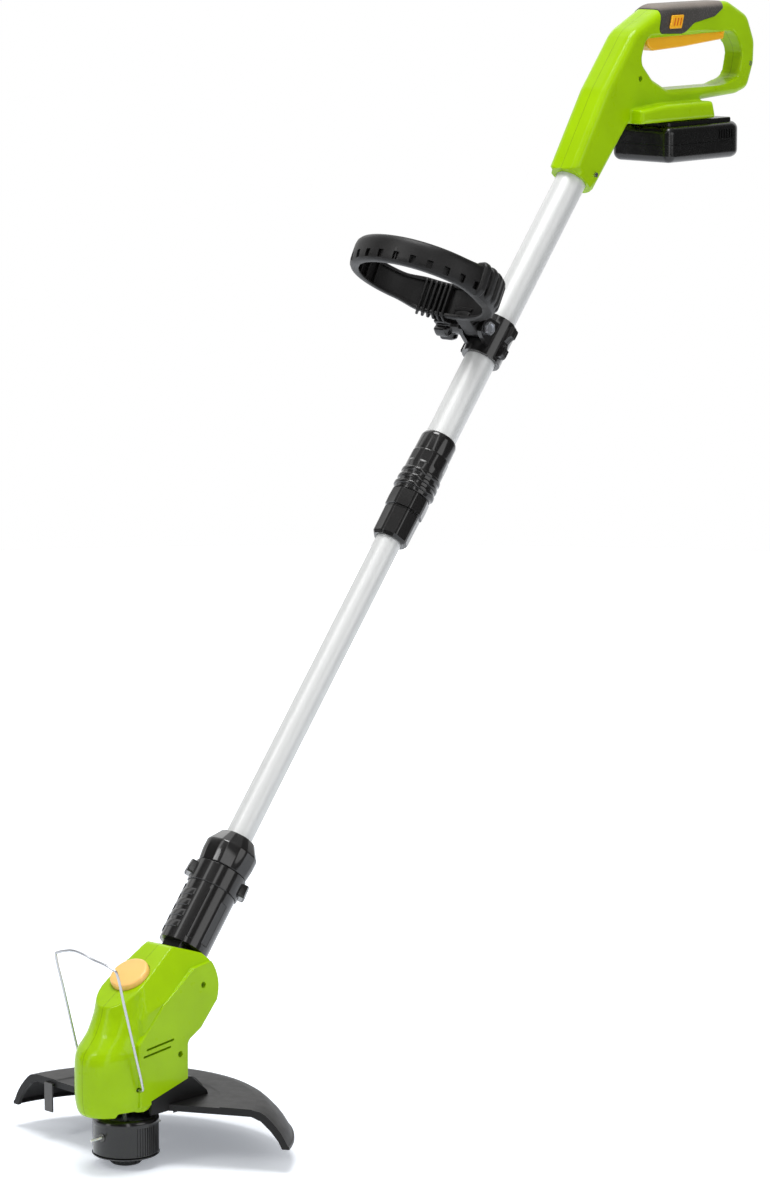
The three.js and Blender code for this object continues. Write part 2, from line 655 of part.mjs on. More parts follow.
function spoolPieces() {
  const s = spool;
  const hubFoot = s.top - s.hubLength;
  const bore = motor.shaftRadius + gap / 2;
  const cup = turned([
    [bore, hubFoot], [s.hubRadius, hubFoot], [s.hubRadius, s.top - s.wall],
    [s.radius - s.wall, s.top - s.wall], [s.radius - s.wall, s.foot], [s.radius, s.foot],
    [s.radius, s.top - 3], [s.radius - 3, s.top], [bore, s.top],
  ]);
  const flutes = Array.from({ length: s.ribs }, (_, i) => {
    const groove = rod(2, s.foot - 1, s.top - 8, 4).translate(s.radius + 2 - s.ribDepth, 0, 0);
    return groove.rotateZ((i / s.ribs) * 360 * deg);
  });
  const eyelets = lengthwise(rod(line.radius + gap, -50, 50, 8)).translate(0, 0, line.height);
  add(origin, 'spool_housing', 'black', cut(cup, ...flutes, eyelets));

  const c = spoolCap;
  const plate = c.foot + c.thickness;
  add(origin, 'spool_cap', 'black', turned([
    [knob.radius + run, c.foot], [s.radius - 2, c.foot], [s.radius + 0.6, c.foot + 1],
    [s.radius + 0.6, s.foot - gap], [s.radius - s.wall - gap, s.foot - gap],
    [s.radius - s.wall - gap, s.foot + c.collar], [s.radius - s.wall - 2, s.foot + c.collar],
    [s.radius - s.wall - 2, plate], [knob.radius + run, plate],
  ]));

  const r = reel;
  const reelSides = 12;
  add(origin, 'line_reel', 'grey', turned([
    [r.boreRadius, r.foot], [r.radius, r.foot], [r.radius, r.foot + r.flange],
    [r.coreRadius, r.foot + r.flange],
    [r.coreRadius, r.top - r.flange], [r.radius, r.top - r.flange], [r.radius, r.top],
    [s.hubRadius + run, r.top], [s.hubRadius + run, hubFoot - run], [r.boreRadius, hubFoot - run],
  ], reelSides));
  const wound = r.radius - 2;
  add(origin, 'line_winding', 'orange', turned([
    [r.coreRadius + gap, r.foot + r.flange + gap], [wound, r.foot + r.flange + gap],
    [wound, r.top - r.flange - gap], [r.coreRadius + gap, r.top - r.flange - gap],
  ], reelSides));
  for (const [name, side] of [['a', 1], ['b', -1]]) {
    const end = lengthwise(rod(line.radius, wound + gap, line.tip, 8)).translate(0, 0, line.height);
    add(origin, `line_end_${name}`, 'orange', end.rotateZ(side > 0 ? 0 : Math.PI));
  }

  const flangeFoot = plate + gap;
  const stemTop = hubFoot - 1 - knob.travel;
  add(origin, 'bump_knob', 'black', turned([
    [0, 0], [knob.radius - 6, 0], [knob.radius - 2, 1.2], [knob.radius, 4], [knob.radius, flangeFoot],
    [knob.flangeRadius, flangeFoot], [knob.flangeRadius, flangeFoot + 2],
    [knob.stemRadius, flangeFoot + 2], [knob.stemRadius, stemTop], [0, stemTop],
  ]));
  add(origin, 'bump_spring', 'steel', spring(
    bumpSpring.radius, bumpSpring.wire, flangeFoot + 2 + gap, r.foot - gap, bumpSpring.turns));
}

// ---------------------------------------------------------------- guard and plant guard

// The guard's collar meets the head along a line that climbs towards the back.
const collarLine = (x) => 64.5 + (x + 4) * 0.475;

const collarOutline = () => {
  const foot = guard.plateHeight - 7;
  return [[-4, foot], [-4, collarLine(-4)], [50, collarLine(50)], [62, 87, 6], [92, foot]];
};

const guardCollarSpace = () => across(outline([
  [-60, 0], [-8, collarLine(-8) + gap], [51, collarLine(51) + gap], [51, 0],
]), 60);

function guardPieces() {
  const { radius: r, plateHeight: top, tipHeight: tip, wall: w, innerRadius: inner } = guard;
  const profile = [
    [inner, top], [r - 30, top - 1.5], [r - 19, top - 8], [r - 8, top - 20], [r, tip],
    [r - w, tip], [r - w - 8, top - 20 - w * 0.6], [r - 19 - w * 0.6, top - 8 - w], [r - 30, top - 1.5 - w],
    [inner, top - w],
  ];
  const sector = new THREE.Shape();
  sector.moveTo(0, 0);
  sector.lineTo(2 * r * Math.cos(guard.from * deg), 2 * r * Math.sin(guard.from * deg));
  sector.absarc(0, 0, 2 * r, guard.from * deg, guard.to * deg, false);
  const skirt = common(turned(profile, 36), raised(sector, 0, 2 * top, 12)).translate(0, guard.centreY, 0);
  const halfWidth = guard.collarHalfWidth;
  const foot = guard.plateHeight - 7;
  const collar = cut(
    across(outline(collarOutline()), halfWidth, 4),
    across(outline(inset(collarOutline(), w)), halfWidth - w),
    block(w - 4, 84, w - halfWidth, halfWidth - w, 0, foot + w + 0.5),
  );
  add(origin, 'guard', 'black', cut(
    join(skirt, collar), block(-60, 0, -60, 60, 0, 100), rod(spool.radius + 3, 0, spool.top + 4),
    rod(motor.radius + 1, 0, 100),
  ));

  const { thickness: t, width: bw, drop, radius: br } = blade;
  const under = top - w - 1.6;
  const plateShape = join(
    block(br - bw / 2, br + bw / 2, -t, 0, under - drop, under),
    block(br - bw / 2, br + bw / 2, -blade.foot, 0, under - t, under),
  );
  add(origin, 'line_cutter', 'steel', plateShape.rotateZ(blade.angle * deg));
}

function plantGuard() {
  const b = bail;
  const inner = head.barrelHalfWidth - head.wall + 1;
  const v = (x, y, z) => new THREE.Vector3(x, y, z);
  const rise = v(b.topX - b.pivotX, 0, b.topZ - b.pivotZ).normalize();
  const bend = 5;
  const sidePoints = (side) => [
    v(b.pivotX, side * inner, b.pivotZ),
    v(b.pivotX, side * (b.halfSpan - bend * 0.4), b.pivotZ),
    v(b.pivotX + rise.x * bend, side * b.halfSpan, b.pivotZ + rise.z * bend),
    v((b.pivotX + b.topX) / 2, side * b.halfSpan, (b.pivotZ + b.topZ) / 2),
    v(b.topX - rise.x * b.corner, side * b.halfSpan, b.topZ - rise.z * b.corner),
    v(b.topX, side * (b.halfSpan - b.corner * 0.6), b.topZ),
  ];
  const crown = v(b.topX - b.bulge * 0.4, 0, b.topZ + b.bulge);
  const route = [...sidePoints(-1), crown, ...sidePoints(1).reverse()];
  const path = new THREE.CatmullRomCurve3(route, false, 'centripetal');
  add(origin, 'plant_guard', 'steel', wireAlong(path, b.wire, 30, 5));
}

// ---------------------------------------------------------------- front handle

function frontHandle() {
  const c = clamp;
  const [low, high] = [c.centre - c.height / 2, c.centre + c.height / 2];
  const outer = upperTube.radius + run + c.wall;
  const bore = rod(upperTube.radius + gap, low - 1, high + 1);
  const flange = crosswise(raised(outline([
    [-c.flangeReach, -c.height / 2 + 4, 3], [c.flangeReach, -c.height / 2 + 4, 3],
    [c.flangeReach, c.height / 2 - 4, 3], [-c.flangeReach, c.height / 2 - 4, 3],
  ]), 0, c.flangeThickness)).rotateZ(Math.PI / 2).translate(0, 0, c.centre);
  const lobeGap = lengthwise(rod(8, -30, 30, 8)).translate(0, 0, c.centre);
  const waists = [-1, 1].map((side) => lobeGap.clone().translate(0, side * (c.flangeReach + 3), 0));
  const earReach = c.boltOffset + 8;
  const ears = [-1, 1].map((side) => {
    const inner = hoop.knuckleHalfWidth + run;
    const ear = raised(outline([
      [-earReach, -9, 8], [0, -16], [0, 16], [-earReach, 9, 8],
    ]), 0, 5).rotateX(Math.PI / 2).translate(0, side > 0 ? inner + 5 : -inner, c.centre);
    return ear;
  });
  const knuckleHalf = hoop.knuckleHalfWidth + run;
  const knuckleWay = crosswise(rod(hoop.knuckleRadius + 1.4, -knuckleHalf, knuckleHalf))
    .translate(-c.boltOffset, 0, c.centre);
  const boltHole = crosswise(rod(hoopBolt.radius + gap, -60, 60, 16)).translate(-c.boltOffset, 0, c.centre);
  const front = cut(
    join(rod(outer, low, high), ...ears),
    bore, knuckleWay, boltHole, block(-gap / 2, 60, -60, 60, low - 1, high + 1),
  );
  const frontFlange = cut(flange.clone().translate(-gap / 2, 0, 0), rod(outer - 1, low, high), ...waists);
  add(shaftFrame, 'clamp_front', 'black', join(front, frontFlange));
  const rear = cut(
    join(rod(outer, low, high), flange.clone().translate(c.flangeThickness + gap / 2, 0, 0)),
    bore, ...waists, block(-60, gap / 2, -60, 60, low - 1, high + 1),
  );
  add(shaftFrame, 'clamp_rear', 'black', rear);

  hoopPieces();
}

function hoopPieces() {
  const h = hoop;
  const [boltX, boltZ] = onShaft(clamp.centre, -clamp.boltOffset);
  const place = (geometry) => geometry.rotateY(h.tilt * deg).translate(h.centreX, 0, h.centreZ);
  const half = h.band / 2;
  const [outer, inner] = [h.radius + h.wall / 2, h.radius - h.wall / 2];
  const band = turned([
    [inner, -half], [outer - 2, -half], [outer, 2 - half], [outer, half - 2], [outer - 2, half],
    [inner, half],
  ], 28);
  const notches = Array.from({ length: h.notches }, (_, i) => {
    const angle = (100 + (i / (h.notches - 1)) * 160) * deg;
    const [foot, wide] = [4 - half, h.notchWidth / 2];
    const notch = block(outer - h.notchDepth, outer + 5, -wide, wide, foot, foot + h.notchHeight);
    return notch.rotateZ(angle);
  });
  const ringBody = place(cut(band, ...notches));
  const root = new THREE.Vector3(outer - 2, 0, 0).applyMatrix4(
    new THREE.Matrix4().makeRotationY(h.tilt * deg).setPosition(h.centreX, 0, h.centreZ));
  const arm = across(outline([
    [boltX - h.armHalf, boltZ - 4], [boltX + h.armHalf, boltZ + 4],
    [root.x + 4, root.z + 8, 2], [root.x - 12, root.z - 10, 2],
  ]), h.knuckleHalfWidth);
  const eye = crosswise(rod(h.knuckleRadius, -h.knuckleHalfWidth, h.knuckleHalfWidth, 24))
    .translate(boltX, 0, boltZ);
  const innerWay = place(rod(inner + 0.5, -half - 20, half + 20, 28));
  const hole = crosswise(rod(hoopBolt.radius + gap, -60, 60, 16)).translate(boltX, 0, boltZ);
  add(origin, 'hoop', 'black', cut(join(ringBody, cut(join(arm, eye), innerWay)), hole));

  const earFace = h.knuckleHalfWidth + run + 5;
  const b = hoopBolt;
  const boltEnd = earFace + wingKnob.length - 3;
  const bolt = join(
    rod(b.radius, -earFace - 1, boltEnd, 16),
    rod(b.headRadius, -earFace - gap - b.headHeight, -earFace - gap, 6),
  );
  add(origin, 'hoop_bolt', 'steel', crosswise(bolt).translate(boltX, 0, boltZ));

  const w = wingKnob;
  const [foot, top] = [earFace + gap, earFace + gap + w.length];
  const knobBody = join(
    rod(w.hub, foot, foot + w.hubLength),
    raised(fluted(w.radius, w.lobes, w.lobeDepth), foot + w.hubLength - 1, top),
  );
  const knobShape = cut(knobBody, rod(b.radius + gap / 2, 0, boltEnd + gap, 16));
  add(origin, 'wing_knob', 'black', crosswise(knobShape).translate(boltX, 0, boltZ));
}

// ---------------------------------------------------------------- rear handle

// X and Z from the mouth, of a place given along the shaft and behind its axis.
function fromMouth(distance, behind) {
  const [x, z] = onShaft(handle.mouth + distance, behind);
  return [x - rearFrame.position.x, z - rearFrame.position.z];
}

function handleOutline() {
  const { from, length } = dock;
  return [
    fromMouth(handle.lip, 1 - handle.sleeveRadius), fromMouth(handle.lip, handle.sleeveRadius - 3),
    [from - 8, dockFoot, 4], [from, dockFoot + 1], [from + length - 4, dockFoot + 1],
    [from + length - 3, dockTop], [245, dockTop + 3, 10], [264, dockTop + 8, 12], [275, 101, 14],
    [276, 123, 16], [263, 149, 18], [229, 164.5, 20], [125, 164.5, 26], [75, 141, 30], [31, 87, 30],
  ];
}

const windowOutline = () => [
  [87, 111, 10], [95, 133, 10], [238, 135, 12], [253, 115, 14], [247, dockTop + 20, 12],
  [221, dockTop + 13, 9], [128, dockTop + 13, 10], [105, dockTop + 24, 10],
];

// The handle's outer form, or the same form shrunk to hollow it out.
function handleForm(shrink) {
  const deep = shrink >= handle.wall;
  const half = handle.halfWidth - shrink;
  const side = outline(inset(handleOutline(), shrink));
  const form = across(side, half, deep ? 0 : handle.bevel - shrink, deep ? 1 : 2);
  const window = across(outline(inset(windowOutline(), -shrink)), 60);
  const flare = handle.windowFlare;
  const flared = outline(inset(windowOutline(), -shrink - flare));
  const rims = deep ? [] : [-1, 1].map((hand) => across(flared, 2 * flare, flare)
    .translate(0, hand * (half + flare), 0));
  const sides = [-1, 1].map((hand) => {
    const away = block(0, 200, Math.min(0, hand * 60), Math.max(0, hand * 60), -beyond, beyond);
    return away.rotateZ(-hand * handle.taper * deg).translate(handle.taperFrom, hand * half, 0);
  });
  return cut(form, window, ...rims, ...sides);
}

const gripPatch = (growth = 0) => across(outline(inset([
  [116, 185], [116, 160, 8], [111, 137.5, 5], [150, 136, 8], [166, 146, 8], [201, 151, 6],
  [215, 158, 3], [221, 185],
], -growth)), 40);

const triggerOutline = (growth = 0) => inset([
  [-117, 9, 2], [-114, -10, 5], [-106, -15, 5], [-58, -13, 20], [6, -8, 2], [8, 4, 3], [-38, 4.5],
].map(([x, z, radius = 0]) => [trigger.pivotX + x, trigger.pivotZ + z, radius]), -growth);

// The slot through shell and grip in which the slider's stem runs.
function sliderWay() {
  const s = slider;
  const foot = trigger.pivotZ + s.seat + s.stemMargin;
  return block(
    s.front + s.stemInset - run, s.front + s.length - s.stemInset + s.travel + run,
    -60, s.stemEnd + gap, foot - run, foot + s.height - 2 * s.stemMargin + run);
}

// Each screw: X, Z, and how far its head and tip are from the middle plane.
const handleScrews = () => [
  [...fromMouth(14, 7.5), 20, 14.2], [83, 95, 15, 8], [267, 101, 10, 4],
];

function handleShells() {
  const h = handle;
  const outerSleeve = shaftToRear(rod(
    h.sleeveRadius, h.mouth, h.mouth + h.sleeveLength, roundSides, h.sleeveRadius + h.sleeveFlare));
  const d = dock;
  const dockEnd = d.from + d.length;
  const dockBlock = across(outline([
    [d.from - 8, dockFoot], [dockEnd, dockFoot], [dockEnd - 5, dockTop],
    [d.from + d.fairing, dockTop], [d.from - 8, dockFoot + 3 * d.chamfer],
  ]), d.halfWidth, d.chamfer);
  const outer = join(handleForm(0), outerSleeve, dockBlock);

  // What stays solid inside: the tube seats, the dock's roof, and blocks that hold the controls.
  const [t, s, w] = [trigger, slider, powerSwitch];
  const rest = t.pivotZ;
  const stop = upperTube.to - h.stopDepth;
  const kept = [
    shaftToRear(block(-80, 80, -60, 60, h.mouth - 40, h.mouth + h.seatLength)),
    shaftToRear(block(-80, 80, -60, 60, stop - h.stopWidth, stop)),
    block(-20, 300, -60, 60, -beyond, dockFoot + d.roof),
    block(s.front - 4, w.front + w.length + 4, -60, 60, rest + s.seat - 4, beyond),
    block(t.pivotX - 7, t.pivotX + 7, -60, 60, rest - 7, beyond),
  ];
  const hollow = cut(handleForm(h.wall), ...kept);

  const [neckHalf, headHalf] = [rail.neckHalfWidth + run, rail.headHalfWidth + run];
  const [wayFrom, wayTo] = [rail.front - terminal.behind - terminal.depth - run, dockEnd + 20];
  const channel = join(
    block(wayFrom, wayTo, -neckHalf, neckHalf, dockFoot - 5, dockFoot + 6),
    block(wayFrom, wayTo, -headHalf, headHalf, railFoot - run, railFoot + rail.headHeight + run),
  );
  const wireWay = block(wayFrom + 2, wayFrom + 16, -6, 6, dockFoot + 5, dockFoot + 40);
  const roomHalf = t.halfWidth + run;
  const triggerWay = across(outline(triggerOutline(1)), roomHalf);
  const triggerRoom = across(outline([
    [t.pivotX - 120, rest + 5], [t.pivotX + 12, rest - 1], [t.pivotX + 12, rest + 8],
    [t.pivotX - 63, rest + 11], [t.pivotX - 120, rest + 17.2],
  ]), roomHalf);
  const pinWay = crosswise(rod(t.pinRadius + gap, -t.pinHalf - gap, t.pinHalf + gap, 10))
    .translate(t.pivotX, 0, rest);
  const foot = rest + w.seat;
  const [plungerFrom, plungerTo] = [w.front + w.plungerFrom, w.front + w.plungerFrom + w.plungerWidth];
  const switchRoom = join(
    block(w.front - gap, w.front + w.length + gap, -w.halfWidth - gap, w.halfWidth + gap,
      foot - gap, foot + w.height + gap),
    block(plungerFrom - run, plungerTo + run, -w.plungerHalf - 1, w.plungerHalf + 1,
      rest + 5, foot + 1),
  );
  const patch = cut(gripPatch(gap), handleForm(grip.depth + gap));
  const screws = handleScrews().map(([x, z]) => crosswise(rod(h.screwRadius + gap, -60, 0, 10))
    .translate(x, 0, z));
  const tubeSeat = rod(upperTube.radius + gap, upperTube.from, upperTube.to + gap);
  const body = cut(
    outer, hollow, shaftToRear(tubeSeat), channel, wireWay, triggerWay, triggerRoom, pinWay,
    sliderWay(), switchRoom, patch, ...screws,
  );
  for (const [side, half] of halves(body)) add(rearFrame, `handle_shell_${side}`, 'green', half);
}

function handleInside() {
  const saddle = cut(common(gripPatch(), handleForm(-grip.proud)), handleForm(grip.depth));
  add(rearFrame, 'soft_grip', 'rubber', cut(saddle, sliderWay()));

  const t = trigger;
  const pin = crosswise(rod(t.pinRadius, -t.pinHalf, t.pinHalf, 10));
  add(rearFrame, 'trigger', 'orange', join(
    across(outline(triggerOutline()), t.halfWidth, t.round),
    pin.translate(t.pivotX, 0, t.pivotZ),
  ));

  const s = slider;
  const face = -(handle.halfWidth + grip.proud + gap);
  const [back, foot] = [s.front + s.length, t.pivotZ + s.seat];
  const head = foot + s.height;
  const pad = across(outline([
    [s.front, foot, 1], [back - s.slant, foot, 1], [back, head, 1], [s.front + s.slant, head, 1],
  ]), s.proud / 2).translate(0, face - s.proud / 2, 0);
  const stem = block(s.front + s.stemInset, back - s.stemInset, face - 0.5, s.stemEnd,
    foot + s.stemMargin, head - s.stemMargin);
  add(rearFrame, 'lock_off_slider', 'orange', join(pad, stem));

  const w = powerSwitch;
  const base = t.pivotZ + w.seat;
  const plunger = w.front + w.plungerFrom;
  add(rearFrame, 'power_switch', 'black', join(
    block(w.front, w.front + w.length, -w.halfWidth, w.halfWidth, base, base + w.height),
    block(plunger, plunger + w.plungerWidth, -w.plungerHalf, w.plungerHalf,
      base - w.plungerDrop, base + 1),
  ));

  const m = terminal;
  const [socketFrom, socketTo] = [rail.front - m.behind - m.depth, rail.front - m.behind];
  add(rearFrame, 'terminal_block', 'black', block(
    socketFrom, socketTo, -m.halfWidth, m.halfWidth, railFoot, railFoot + rail.headHeight + run - gap));
  for (const [name, y] of [['plus', m.bladeY], ['minus', -m.bladeY]]) {
    add(rearFrame, `contact_${name}`, 'brass', block(
      socketTo + gap, rail.front + m.reach, y - m.bladeHalf, y + m.bladeHalf,
      railFoot + 0.6, railFoot + rail.headHeight));
  }
  handleScrews().forEach(([x, z, head, tip], i) => {
    const screw = crosswise(rod(handle.screwRadius, -head, -tip, 10)).translate(x, 0, z);
    add(rearFrame, `handle_screw_${i + 1}`, 'steel', screw);
  });
}

// ---------------------------------------------------------------- battery

// The case seen from above: square in front, with a round-cornered, blunt nose behind.
function casePlan(reduce) {
  const { from, length, nose, corner, halfWidth } = battery;
  const [side, front, back] = [halfWidth - reduce, from + reduce, from + length];
  return outline([
    [front, -side], [back - nose, -side, corner], [back - reduce, 0], [back - nose, side, corner],
    [front, side],
  ]);
}

function batteryPieces() {
  const b = battery;
  const lower = cut(
    join(
      raised(casePlan(0), b.foot + b.round, batterySplit - gap),
      raised(casePlan(b.round), b.foot, b.foot + b.round + 0.1),
    ),
    raised(casePlan(b.wall), b.foot + b.wall - gap, batterySplit + 1),
  );
  add(rearFrame, 'battery_case_lower', 'gloss', lower);

  const shoulder = batteryTop - b.step;
  const railEnd = latch.from - 3;
  const railSolid = join(
    block(rail.front, railEnd, -rail.neckHalfWidth, rail.neckHalfWidth,
      batteryTop - 1, railFoot + 1),
    block(rail.front, railEnd, -rail.headHalfWidth, rail.headHalfWidth,
      railFoot, railFoot + rail.headHeight),
  );
  const slots = [-terminal.bladeY, terminal.bladeY].map((y) => block(
    rail.front - 1, rail.front + terminal.reach + 10, y - rail.slotHalf, y + rail.slotHalf,
    railFoot - run, railFoot + 30));
  const pocket = block(
    latch.from - gap, latch.from + latch.length + gap, -latch.halfWidth - gap,
    latch.halfWidth + gap, batteryTop - latch.depth - latch.travel - gap, batteryTop + 5);
  const inside = cut(
    raised(casePlan(b.wall), batterySplit - 1, shoulder - b.wall),
    block(railEnd, beyond, -60, 60, batterySplit + 5, beyond),
  );
  const upper = join(
    raised(casePlan(0), batterySplit, shoulder),
    raised(casePlan(b.step), shoulder - 1, batteryTop),
    railSolid,
  );
  add(rearFrame, 'battery_case_upper', 'gloss', cut(upper, inside, pocket, ...slots));

  const l = latch;
  const [heel, toe] = [l.from, l.from + l.length];
  add(rearFrame, 'battery_latch', 'grey', across(outline([
    [heel, batteryTop - l.depth], [toe, batteryTop - l.depth], [toe, batteryTop + 1.5, 1.5],
    [heel + 2, batteryTop + l.proud, 1], [heel, batteryTop + l.proud],
  ]), l.halfWidth));

  const middle = b.from + b.wall + gap + (cell.count * cell.pitch) / 2;
  for (let i = 0; i < cell.count; i += 1) {
    const x = middle + (i - (cell.count - 1) / 2) * cell.pitch;
    const body = crosswise(rod(cell.radius, -cell.length / 2, cell.length / 2, 12));
    add(rearFrame, `battery_cell_${i + 1}`, 'cellWrap',
      body.translate(x, 0, b.foot + b.wall + cell.radius));
  }
}

tubes();
telescopeJoint();
neckPieces();
headPieces();
tiltButton();
spoolPieces();
guardPieces();
plantGuard();
frontHandle();
handleShells();
handleInside();
batteryPieces();

export default origin;
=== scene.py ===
"""The looks of a cordless string trimmer, built round its CAD frame and run as a script."""
import json
import math

import bmesh
import bpy
from mathutils import Matrix, Vector


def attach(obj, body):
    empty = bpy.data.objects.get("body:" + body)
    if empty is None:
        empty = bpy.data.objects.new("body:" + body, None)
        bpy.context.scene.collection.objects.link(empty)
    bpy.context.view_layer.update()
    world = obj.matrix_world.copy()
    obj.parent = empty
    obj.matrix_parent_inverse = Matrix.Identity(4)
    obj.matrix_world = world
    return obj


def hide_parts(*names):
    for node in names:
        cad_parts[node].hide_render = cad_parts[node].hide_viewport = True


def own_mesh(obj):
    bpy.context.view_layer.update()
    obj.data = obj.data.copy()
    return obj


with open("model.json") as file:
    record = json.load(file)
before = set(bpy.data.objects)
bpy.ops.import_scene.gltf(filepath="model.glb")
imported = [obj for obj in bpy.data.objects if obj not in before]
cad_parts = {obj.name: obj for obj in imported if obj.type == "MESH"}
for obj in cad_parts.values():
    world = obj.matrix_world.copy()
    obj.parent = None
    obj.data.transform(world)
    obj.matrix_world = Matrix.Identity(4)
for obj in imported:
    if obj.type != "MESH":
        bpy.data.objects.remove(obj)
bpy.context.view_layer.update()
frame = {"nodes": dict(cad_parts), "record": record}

bl_info = {
    "name": "String trimmer",
    "version": (1, 0, 0),
    "blender": (4, 5, 0),
    "location": "View3D > Sidebar > Trimmer",
    "description": "Models and finishes the pieces of a cordless string trimmer",
    "category": "Object",
}

MM = 0.001
GAP, RUN = 0.3, 0.4  # between pieces that meet, and round those that slide or turn
LEAN = 39.4  # of the shaft from the vertical, in degrees
CROSS_HEIGHT = 94  # where the shaft's axis meets the spool's
PIVOT = 78  # along the shaft, of the head's tilting axle
TONGUE_HALF, TONGUE_RADIUS = 11, 19  # of the neck's tongue, in the slot of the head
AXLE_RADIUS = 4
UPPER_TUBE, LOWER_TUBE = 15, 12.5  # outer radii
FACE_SLOPE = 32  # of the head's upper face, in degrees
BUTTON_X, BUTTON_HEIGHT = 8, 172
BAIL_X, BAIL_HEIGHT = -15, 77  # of the plant guard's ends
LINE_HEIGHT = 30  # at which the line leaves the spool
HEAD_SCREWS = ((68, 158), (37, 100))  # X and Z
TRIGGER_X, TRIGGER_HEIGHT = 838, 980  # of its pin


def turn(axis, degrees):
    """A turn about an axis through the origin."""
    return Matrix.Rotation(math.radians(degrees), 4, axis)


def shift(x=0, y=0, z=0):
    """A move along the axes."""
    return Matrix.Translation((x, y, z))


SHAFT = shift(0, 0, CROSS_HEIGHT) @ turn("Y", LEAN)
BUTTON = shift(BUTTON_X, 0, BUTTON_HEIGHT) @ turn("Y", -FACE_SLOPE)
CROSSWISE = turn("X", -90)
LENGTHWISE = turn("Y", 90)


def on_shaft(distance, behind=0):
    """X and Z of a point in the middle plane, given along the shaft and behind its axis."""
    point = SHAFT @ Vector((behind, 0, distance))
    return point.x, point.z


def linear(red, green, blue):
    """A screen colour from 0 to 255 as the shader's linear colour."""
    values = [channel / 255 for channel in (red, green, blue)]
    return tuple(v / 12.92 if v < 0.04045 else ((v + 0.055) / 1.055) ** 2.4 for v in values)


# ---------------------------------------------------------------- settings


def colour(name, description, *screen):
    return bpy.props.FloatVectorProperty(
        name=name, description=description, subtype="COLOR", size=3, min=0, max=1,
        default=linear(*screen))


def share(name, description, default):
    return bpy.props.FloatProperty(
        name=name, description=description, subtype="FACTOR", min=0, max=1, default=default)


def length(name, description, default):
    return bpy.props.FloatProperty(
        name=name, description=description, subtype="DISTANCE", unit="LENGTH", min=0,
        default=default)


class TrimmerColours(bpy.types.PropertyGroup):
    shell: colour("Shell", "Moulded shells of head and handle", 156, 198, 0)
    trigger: colour("Trigger", "Trigger and lock-off slider", 255, 182, 12)
    button: colour("Button", "Tilt button on the head", 252, 196, 110)
    plastic: colour("Plastic", "Black moulded plastic", 17, 16, 16)
    battery: colour("Battery", "Glossy battery case", 5, 5, 5)
    grip: colour("Grip", "Soft insert of the rear grip", 50, 46, 42)
    latch: colour("Latch", "Battery latch", 150, 150, 154)
    tube: colour("Tube", "Anodised shaft tubes", 214, 215, 214)
    line: colour("Line", "Nylon cutting line", 232, 232, 226)


class TrimmerSizes(bpy.types.PropertyGroup):
    skin: length("Skin", "Size of the cells that blend the moulded shells", 0.0012)
    grain: length("Grain", "Pitch of the spark-eroded texture on black plastic", 0.0009)
    sides: bpy.props.IntProperty(
        name="Sides", description="Facets round a turned piece", min=24, max=256, default=96)


class TrimmerStudio(bpy.types.PropertyGroup):
    key: bpy.props.FloatProperty(
        name="Key", description="Power of the key lamp", subtype="POWER", default=24)
    fill: bpy.props.FloatProperty(
        name="Fill", description="Power of the fill lamp", subtype="POWER", default=22)
    top: bpy.props.FloatProperty(
        name="Top", description="Power of the lamp overhead", subtype="POWER", default=118)
    sky: share("Sky", "Level of the white surroundings", 0.44)


def sizes():
    return bpy.context.scene.trimmer_sizes


def colours():
    return bpy.context.scene.trimmer_colours


# ---------------------------------------------------------------- finishes


class Wire:
    """An output of a shader node. An expression on it adds Math nodes."""

    def __init__(self, board, socket):
        self.board = board
        self.socket = socket

    def math(self, operation, *values):
        return self.board.node("ShaderNodeMath", {"operation": operation}, dict(enumerate(values)))

    def __add__(self, other):
        return self.math("ADD", self, other)

    def __sub__(self, other):
        return self.math("SUBTRACT", self, other)

    def __rsub__(self, other):
        return self.math("SUBTRACT", other, self)

    def __mul__(self, other):
        return self.math("MULTIPLY", self, other)

    def __truediv__(self, other):
        return self.math("DIVIDE", self, other)

    def __abs__(self):
        return self.math("ABSOLUTE", self)

    __radd__ = __add__
    __rmul__ = __mul__

    def under(self, limit):
        return self.math("LESS_THAN", self, limit)

    def rise(self, low, high):
        """A soft step from 0 to 1 between two values."""
        return self.board.node("ShaderNodeMapRange", {"interpolation_type": "SMOOTHSTEP"}, {
            "Value": self, "From Min": low, "From Max": high})


class Board:
    """The nodes of a material or of the surroundings."""

    def __init__(self, tree, shader):
        self.tree = tree
        self.shader = tree.nodes[shader]

    def set(self, socket, value):
        self.feed(self.shader.inputs[socket], value)

    def feed(self, socket, value):
        if isinstance(value, Wire):
            self.tree.links.new(value.socket, socket)
        else:
            socket.default_value = value

    def node(self, kind, settings, inputs, output=0):
        made = self.tree.nodes.new(kind)
        for name, value in settings.items():
            if name == "stops":
                for stop, (place, level) in zip(made.color_ramp.elements, value):
                    stop.position = place
                    stop.color = (level, level, level, 1)
            else:
                setattr(made, name, value)
        for socket, value in inputs.items():
            self.feed(made.inputs[socket], value)
        return Wire(self, made.outputs[output])

    def seen(self):
        """1 for rays from the camera, and 1 for those that come by way of metal or glass."""
        path = self.tree.nodes.new("ShaderNodeLightPath")
        camera, glossy, through = (
            Wire(self, path.outputs[f"Is {ray} Ray"])
            for ray in ("Camera", "Glossy", "Transmission"))
        return camera, glossy + through

    def mix(self, first, second, amount):
        return self.node("ShaderNodeMix", {"data_type": "RGBA"}, {
            0: amount, 6: first, 7: second}, 2)


